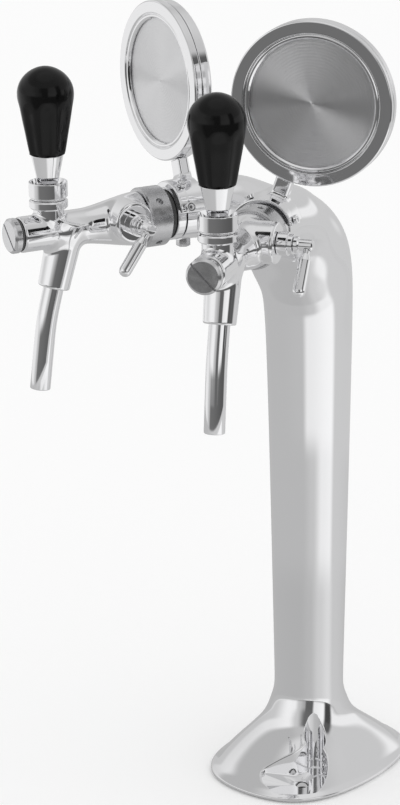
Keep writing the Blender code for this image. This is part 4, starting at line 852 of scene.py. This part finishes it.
def knob_mesh():
    """The drop-shaped grip: eight shallow flutes that run out below its widest place, a round crown."""
    height, wide, widest, segments = 0.0533, 0.0171, 0.69, 192
    bore, depth, flute = 0.0039, 0.0150, 0.0009
    rows = [(bore, depth), (bore, 0.0), (0.0103, 0.0), (0.0108, 0.0001), (0.0111, 0.0005)]
    for k in range(1, 52):
        h = k / 52 * widest
        rows.append((float(KNOB(np.array(h))) * wide, h * height))
    for k in range(34):
        a = pi / 2 * k / 34
        rows.append((wide * cos(a) ** 1.08, height * (widest + 0.31 * sin(a))))
    points = [(0, 0, depth)]
    for r, h in rows:
        fade = max(0.0, min(1.0, (0.66 - h / height) / 0.16))
        fade = fade * fade * (3 - 2 * fade)
        for k in range(segments):
            angle = 2 * pi * k / segments
            wave = 0.5 - 0.5 * cos(8 * angle) if h > 0.0003 else 0.0
            here = r - flute * wave * fade
            points.append((here * cos(angle), here * sin(angle), h))
    points.append((0, 0, height))
    last, end = 1 + (len(rows) - 1) * segments, len(points) - 1
    faces = bands(1, len(rows), segments)
    for k in range(segments):
        n = (k + 1) % segments
        faces += [(0, 1 + n, 1 + k), (last + k, last + n, end)]
    return points, faces


def arc(radius, centre, start, end, steps):
    """(radius, height) points of a ball's outline between two angles in degrees."""
    made = []
    for k in range(steps + 1):
        a = radians(start + (end - start) * k / steps)
        made.append((radius * cos(a), centre + radius * sin(a)))
    return made


def mm(*outline):
    """Pairs in millimetres as pairs in metres."""
    return [(r / 1000, h / 1000) for r, h in outline]


def build_tap(side, sign):
    """One arm's nut, bracket, medallion and tap. Pieces and their CAD nodes are named without the side."""
    lever, compensator = "lever_" + side, "compensator_lever_" + side

    def made(name, solid, mesh, material, at=(0, 0, 0), turn=UP, body="tower", sharp=38):
        add(f"{name}_{side}", mesh, material, body, f"{solid}_{side}", tap_space(sign, at, turn), sharp)

    def lathed(name, solid, outline, radius, material, at=(0, 0, 0), turn=UP, body="tower", segments=96):
        made(name, solid, turned(outline, radius, segments), material, at, turn, body)

    def carved(name, solid, outline, radius, segments, tools, material, at=(0, 0, 0), turn=UP, body="tower"):
        blank = helper(name, turned(outline, radius, segments)[:2])
        add_cut(f"{name}_{side}", cut(blank, tools), material, body, f"{solid}_{side}",
                tap_space(sign, at, turn), weight=80)

    # Ring nut with its four spanner holes, each with a chamfered mouth
    hole = mm((0, 16.2), (1.9, 16.2), (2.1, 16.5), (2.1, 18.2), (2.7, 19.2), (2.7, 20.0), (0, 20.0))
    middle, first = Matrix.Translation((0, 0, 0.11655)), {"left": 48, "right": 12}[side]
    tools = [
        helper("hole", turned(hole, 0.0002, 40)[:2],
               middle @ Matrix.Rotation(radians(90 * k - first), 4, "Z") @ SIDEWAYS)
        for k in range(4)]
    carved("ring_nut_body", "ring_nut", mm(
        (13.6, 108.9), (17.8, 108.9), (18.8, 109.9), (18.8, 123.2), (17.8, 124.2), (11.3, 124.2), (11.3, 121.2),
        (13.6, 121.2)), 0.0005, 128, tools, SATIN, turn=FORWARD @ Matrix.Rotation(pi / 2, 4, "Z"))
    lathed("seal_ring", "shank_seal", mm((8.3, 105.0), (15.1, 105.0), (15.1, 108.6), (8.3, 108.6)), 0.0006, RUBBER,
           turn=FORWARD)

    # Bracket and its screws
    field = bracket_field(sign)
    made("bracket", "medallion_bracket",
         surface_net(field, (-0.0290, -0.1056, -0.0215), (0.0290, -0.0850, 0.0365), 0.0006), CHROME)
    grub = turned(mm((0, 21.1), (3.0, 21.1), (3.0, 23.3), (1.5, 23.3), (1.5, 22.3), (0, 22.3)), 0.0004, 48)
    for end, angle in (("top", -sign * 24), ("side", 69)):
        add(f"grub_{end}_{side}", grub, CHROME, "tower", f"bracket_screw_{side}_{end}",
            tap_space(sign, (0, -0.0985, 0), Matrix.Rotation(radians(angle), 4, "Y")))
    hexagon = turned(mm((0, -21.8), (3.9, -21.8), (4.5, -21.4), (4.5, -16.0), (0, -16.0)), 0.0003, 6, 2)[:2]
    made("lock_screw", "arm_lock_screw", hexagon, STEEL, LOCK_SCREW)

    # Medallion
    centre = (sign * MEDALLION_REACH * sin(MEDALLION_LEAN), 0, MEDALLION_REACH * cos(MEDALLION_LEAN))
    for name, material, radius, outline in (
        ("case", CHROME, 0.0005, mm(
            (0, 82.6), (48.4, 82.6), (50.0, 84.2), (50.0, 89.6), (47.8, 89.6), (47.8, 84.8), (0, 84.8))),
        ("bezel", CHROME, 0.0007, mm(
            (45.6, 89.9), (50.0, 89.9), (50.0, 94.4), (49.4, 95.1), (42.6, 95.1), (42.1, 93.8), (41.1, 94.6),
            (39.9, 94.6), (38.8, 93.4), (38.8, 92.4), (45.6, 92.4))),
        ("plate", PLATE, 0.0003, mm(
            (0, 90.1), (45.3, 90.1), (45.3, 92.1), (1.2, 92.1), (0.5, 92.4), (0, 92.5))),
    ):
        lathed(name, "medallion_" + name, outline, radius, material, centre, FORWARD, segments=180)

    # Tap body, slotted front cap and spout
    made("valve_body", "tap_body", TAP_MESH, CHROME)
    slot_cutter = helper("slot", box_mesh(0.0240, 0.0014, 0.0024),
                         Matrix.Translation((0, 0, 0.2127)) @ Matrix.Rotation(radians(-45), 4, "Z"))
    carved("cap", "front_cap", mm(
        (0, 201.5), (6.9, 201.5), (6.9, 207.8), (10.8, 207.8), (10.8, 211.3), (9.4, 212.7), (0, 212.7)),
        0.0005, 96, [slot_cutter], CAP, turn=FORWARD)
    lathed("cap_ring", "cap_seal", mm((7.2, 206.3), (10.3, 206.3), (10.3, 207.5), (7.2, 207.5)), 0.0003, RUBBER,
           turn=FORWARD)
    made("pouring_pipe", "spout", spout_mesh(), CHROME)

    # Collar and lever
    lathed("bonnet", "bonnet_nut", mm(
        (9.8, 14.5), (10.9, 14.5), (11.8, 15.4), (11.8, 19.1), (10.9, 20.0), (9.8, 20.0)), 0.0004, CHROME, LEVER)
    lathed("lock_collar", "locking_ring", mm(
        (9.8, 20.3), (10.8, 20.3), (10.8, 21.3), (11.8, 21.75), (11.8, 30.55), (11.5, 31.0), (9.8, 25.0)),
        0.0004, CHROME, LEVER)
    stem = arc(0.0030, 0.0020, -90, 50, 14) + mm((1.8, 5.2), (1.8, 12.7)) + arc(0.0095, 0.0220, -52, 48, 28)
    stem += mm((3.6, 29.3), (3.6, 59.8), (0, 59.8))
    lathed("stem", "lever_stem", stem, 0.0003, STEEL, LEVER, body=lever, segments=72)
    notch = helper("notch", box_mesh(0.0060, 0.0032, 0.0052), Matrix.Translation((0, -0.0063, 0.0302)))
    carved("sleeve", "ferrule", mm((3.9, 30.2), (6.3, 30.2), (9.9, 47.5), (3.9, 47.5)), 0.0004, 96, [notch],
           CHROME, LEVER, body=lever)
    made("grip", "knob", knob_mesh(), BLACK, (0, LEVER[1], 0.0478), body=lever, sharp=55)

    # Compensator's gland, hub and rod
    lathed("gland", "gland_nut", mm((3.3, 21.8), (7.2, 21.8), (7.2, 28.3), (6.0, 28.3), (6.0, 31.3), (3.3, 31.3)),
           0.0005, CHROME, COMPENSATOR, SIDEWAYS)
    rod_at, swing = 0.0395, Matrix.Rotation(radians(-35.8), 4, "X")
    seat = helper("seat", rod(0.0025, -0.0072, -0.0024),
                  SIDEWAYS.inverted() @ Matrix.Translation((rod_at, 0, 0)) @ swing)
    carved("hub_body", "compensator_hub", mm(
        (0, 34.3), (3.3, 34.3), (3.3, 31.6), (5.0, 31.6), (5.0, 34.0), (3.6, 34.9), (3.6, 42.3), (2.7, 43.2),
        (0, 43.2)), 0.0004, 72, [seat], CHROME, COMPENSATOR, SIDEWAYS, compensator)
    bar = [(0, -0.0326)] + arc(0.0039, -0.0287, -80, 0, 10) + mm((3.9, -10.0), (2.2, -5.8), (2.2, -2.7), (0, -2.7))
    lathed("side_rod", "compensator_rod", bar, 0.0006, CHROME, (rod_at, *COMPENSATOR[1:]), swing, compensator, 72)


for side, sign in SIDES:
    build_tap(side, sign)

# CAD nodes that show only through an opening keep their solids
KEPT = {
    "beer_line": HOSE, "shank_": BRASS, "valve_plunger": STEEL, "valve_seal": RUBBER,
    "compensator_cone": STEEL, "compensator_spindle": STEEL,
}
for name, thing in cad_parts.items():
    for start, material in KEPT.items():
        if name.startswith(start) and not thing.hide_render:
            thing.data.materials.clear()
            thing.data.materials.append(material)
            break


# Floor, light and camera


def ramp(tree, stops, place):
    """Greys between (place, tone) stops, read at a node's value."""
    made = node(tree, "ValToRGB")
    bar = made.color_ramp
    bar.interpolation = "EASE"
    while len(bar.elements) > 1:
        bar.elements.remove(bar.elements[-1])
    for i, (at, tone) in enumerate(stops):
        stop = bar.elements[0] if i == 0 else bar.elements.new(at)
        stop.position = at
        stop.color = (tone, tone, tone, 1)
    tree.links.new(place.outputs[0], made.inputs[0])
    return made.outputs[0]


def tones_around(tree, share, *rows):
    """A ramp for each row of (degrees to the right of the camera's side, tone)."""
    return [ramp(tree, [(0.5 + degrees / 360, tone) for degrees, tone in stops], share) for stops in rows]


def scaled(tree, value, factor, shift=0.0):
    made = node(tree, "Math", operation="MULTIPLY_ADD")
    made.inputs[1].default_value = factor
    made.inputs[2].default_value = shift
    tree.links.new(value, made.inputs[0])
    return made


def blended(tree, step, low, high):
    made = node(tree, "Mix", data_type="RGBA")
    for value, socket in ((step, 0), (low, 6), (high, 7)):
        tree.links.new(value, made.inputs[socket])
    return made.outputs[2]


def mixed(tree, share, first, second):
    made = node(tree, "MixShader")
    for socket, value in enumerate((share, first, second)):
        tree.links.new(value, made.inputs[socket])
    return made.outputs[0]


def finished(tree, output, plain, polished):
    """One shader to the camera and matt surfaces, another to polished ones."""
    glossy = node(tree, "LightPath").outputs["Is Glossy Ray"]
    out = node(tree, output)
    tree.links.new(mixed(tree, glossy, plain.outputs[0], polished), out.inputs["Surface"])


def bearing(tree, kind):
    """The place or direction itself, its parts with the camera's side ahead, its share of the way round."""
    coordinates = node(tree, "TexCoord")
    turn = node(tree, "Mapping", Rotation=(0, 0, radians(90 - CAMERA_AZIMUTH)))
    parts = node(tree, "SeparateXYZ")
    tree.links.new(coordinates.outputs[kind], turn.inputs["Vector"])
    tree.links.new(turn.outputs["Vector"], parts.inputs["Vector"])
    angle = node(tree, "Math", operation="ARCTAN2")
    tree.links.new(parts.outputs["Y"], angle.inputs[0])
    tree.links.new(parts.outputs["X"], angle.inputs[1])
    return coordinates, parts, scaled(tree, angle.outputs[0], 0.5 / pi, 0.5)


def build_floor():
    """A pale floor. Polished surfaces see a lit table on it, brighter to the right, and the studio beyond."""
    data = mesh_data("floor", [(-8, -8, 0), (8, -8, 0), (8, 8, 0), (-8, 8, 0)], [(0, 1, 2, 3)])
    floor = linked("floor", data)
    made = bpy.data.materials.new("pale floor")
    made.use_nodes = True
    tree = made.node_tree
    tree.nodes.clear()
    paint = node(tree, "BsdfDiffuse", Color=(0.97, 0.97, 0.97, 1))
    coordinates, _, share = bearing(tree, "Object")
    length = node(tree, "VectorMath", operation="LENGTH")
    tree.links.new(coordinates.outputs["Object"], length.inputs[0])
    away = scaled(tree, length.outputs["Value"], 0.5)
    # Four rings outwards. Ramps end at 1, so they read half the distance in metres
    rings = tones_around(
        tree, share,
        ((-180, 0.48), (-30, 0.46), (0, 0.50), (30, 0.64), (60, 0.74), (80, 0.60), (180, 0.50)),
        ((-180, 0.50), (-22, 0.50), (8, 0.58), (36, 0.88), (60, 0.92), (74, 0.62), (180, 0.55)),
        ((-180, 0.50), (-80, 0.50), (-22, 0.52), (-6, 0.86), (60, 0.98), (74, 0.62), (180, 0.60)),
        ((-180, 0.52), (-80, 0.50), (-6, 0.60), (180, 0.60)))
    tone = rings[0]
    for low, high, ring in ((0.150, 0.200, rings[1]), (0.290, 0.330, rings[2]), (0.450, 0.485, rings[3])):
        tone = blended(tree, ramp(tree, ((low, 0.0), (high, 1.0)), away), tone, ring)
    lit = node(tree, "Emission")
    tree.links.new(tone, lit.inputs["Color"])
    clear = node(tree, "BsdfTransparent")
    edge = ramp(tree, ((0.56, 0.0), (0.62, 1.0)), away)
    table = mixed(tree, edge, lit.outputs[0], clear.outputs[0])
    finished(tree, "OutputMaterial", paint, table)
    data.materials.append(made)


def build_world():
    """White to the camera and to matt surfaces. Polished ones see a studio with bright walls and dark gaps."""
    world = bpy.data.worlds.new("studio")
    bpy.context.scene.world = world
    world.use_nodes = True
    tree = world.node_tree
    tree.nodes.clear()
    _, parts, share = bearing(tree, "Generated")
    lift = node(tree, "Math", operation="ARCSINE")
    tree.links.new(parts.outputs["Z"], lift.inputs[0])
    height = scaled(tree, lift.outputs[0], 1 / pi, 0.5)
    # Five bands upwards, each of which takes over between two angles of lift
    low, wall, middle, upper, top = tones_around(
        tree, share,
        ((-180, 0.60), (-150, 0.85), (-100, 0.85), (-70, 0.55), (-48, 0.16), (85, 0.10), (100, 0.62), (180, 0.60)),
        ((-180, 0.55), (-110, 0.60), (-62, 0.92), (-46, 0.90), (-30, 0.56), (-14, 0.40), (-8, 0.12), (10, 0.12),
         (18, 0.85), (46, 0.95), (54, 0.06), (66, 0.06), (74, 0.88), (135, 0.88), (150, 0.60), (180, 0.60)),
        ((-180, 0.60), (-110, 0.80), (-60, 0.90), (-36, 0.60), (-10, 0.14), (10, 0.14), (20, 0.75), (46, 0.85),
         (54, 0.10), (66, 0.10), (76, 0.60), (180, 0.60)),
        ((-180, 0.52), (-150, 0.47), (-60, 0.47), (-30, 0.52), (60, 0.54), (100, 0.62), (150, 0.62), (180, 0.52)),
        ((-180, 0.72), (180, 0.72)))
    tone = low
    for start, end, band in ((-6, 2, wall), (12, 20, middle), (32, 42, upper), (58, 72, top)):
        step = ramp(tree, ((0.5 + start / 180, 0.0), (0.5 + end / 180, 1.0)), height)
        tone = blended(tree, step, tone, band)
    white = node(tree, "Background", Color=(1, 1, 1, 1))
    studio = node(tree, "Background")
    tree.links.new(tone, studio.inputs["Color"])
    finished(tree, "OutputWorld", white, studio.outputs[0])


def build_camera():
    """The photograph's view, from its fitted azimuth, elevation, distance, shift and roll."""
    azimuth, elevation, roll = radians(CAMERA_AZIMUTH), radians(17.84), radians(-0.6)
    distance, aside, aim_height = 1.70335, 0.0689, 0.26513
    focal, shift_x, shift_y, picture_height, sensor = 2595.58, -4.57, -11.34, 805, 36  # pixels, and mm
    back = Vector((sin(azimuth) * cos(elevation), -cos(azimuth) * cos(elevation), sin(elevation)))
    right = Vector((cos(azimuth), sin(azimuth), 0))
    top = back.cross(right)
    across = cos(roll) * right + sin(roll) * top
    upward = -sin(roll) * right + cos(roll) * top
    position = Vector((0, 0, aim_height)) + back * distance - right * aside
    data = bpy.data.cameras.new("camera")
    data.sensor_fit = "VERTICAL"
    data.sensor_height = sensor
    data.lens = sensor * focal / picture_height
    data.shift_x = shift_x / picture_height
    data.shift_y = shift_y / picture_height
    data.clip_end = 30
    camera = linked("camera", data)
    matrix = Matrix((across, upward, back)).transposed().to_4x4()
    matrix.translation = position
    camera.matrix_world = matrix
    bpy.context.scene.camera = camera


build_floor()
build_world()
build_camera()
bpy.context.scene.view_settings.view_transform = "Standard"
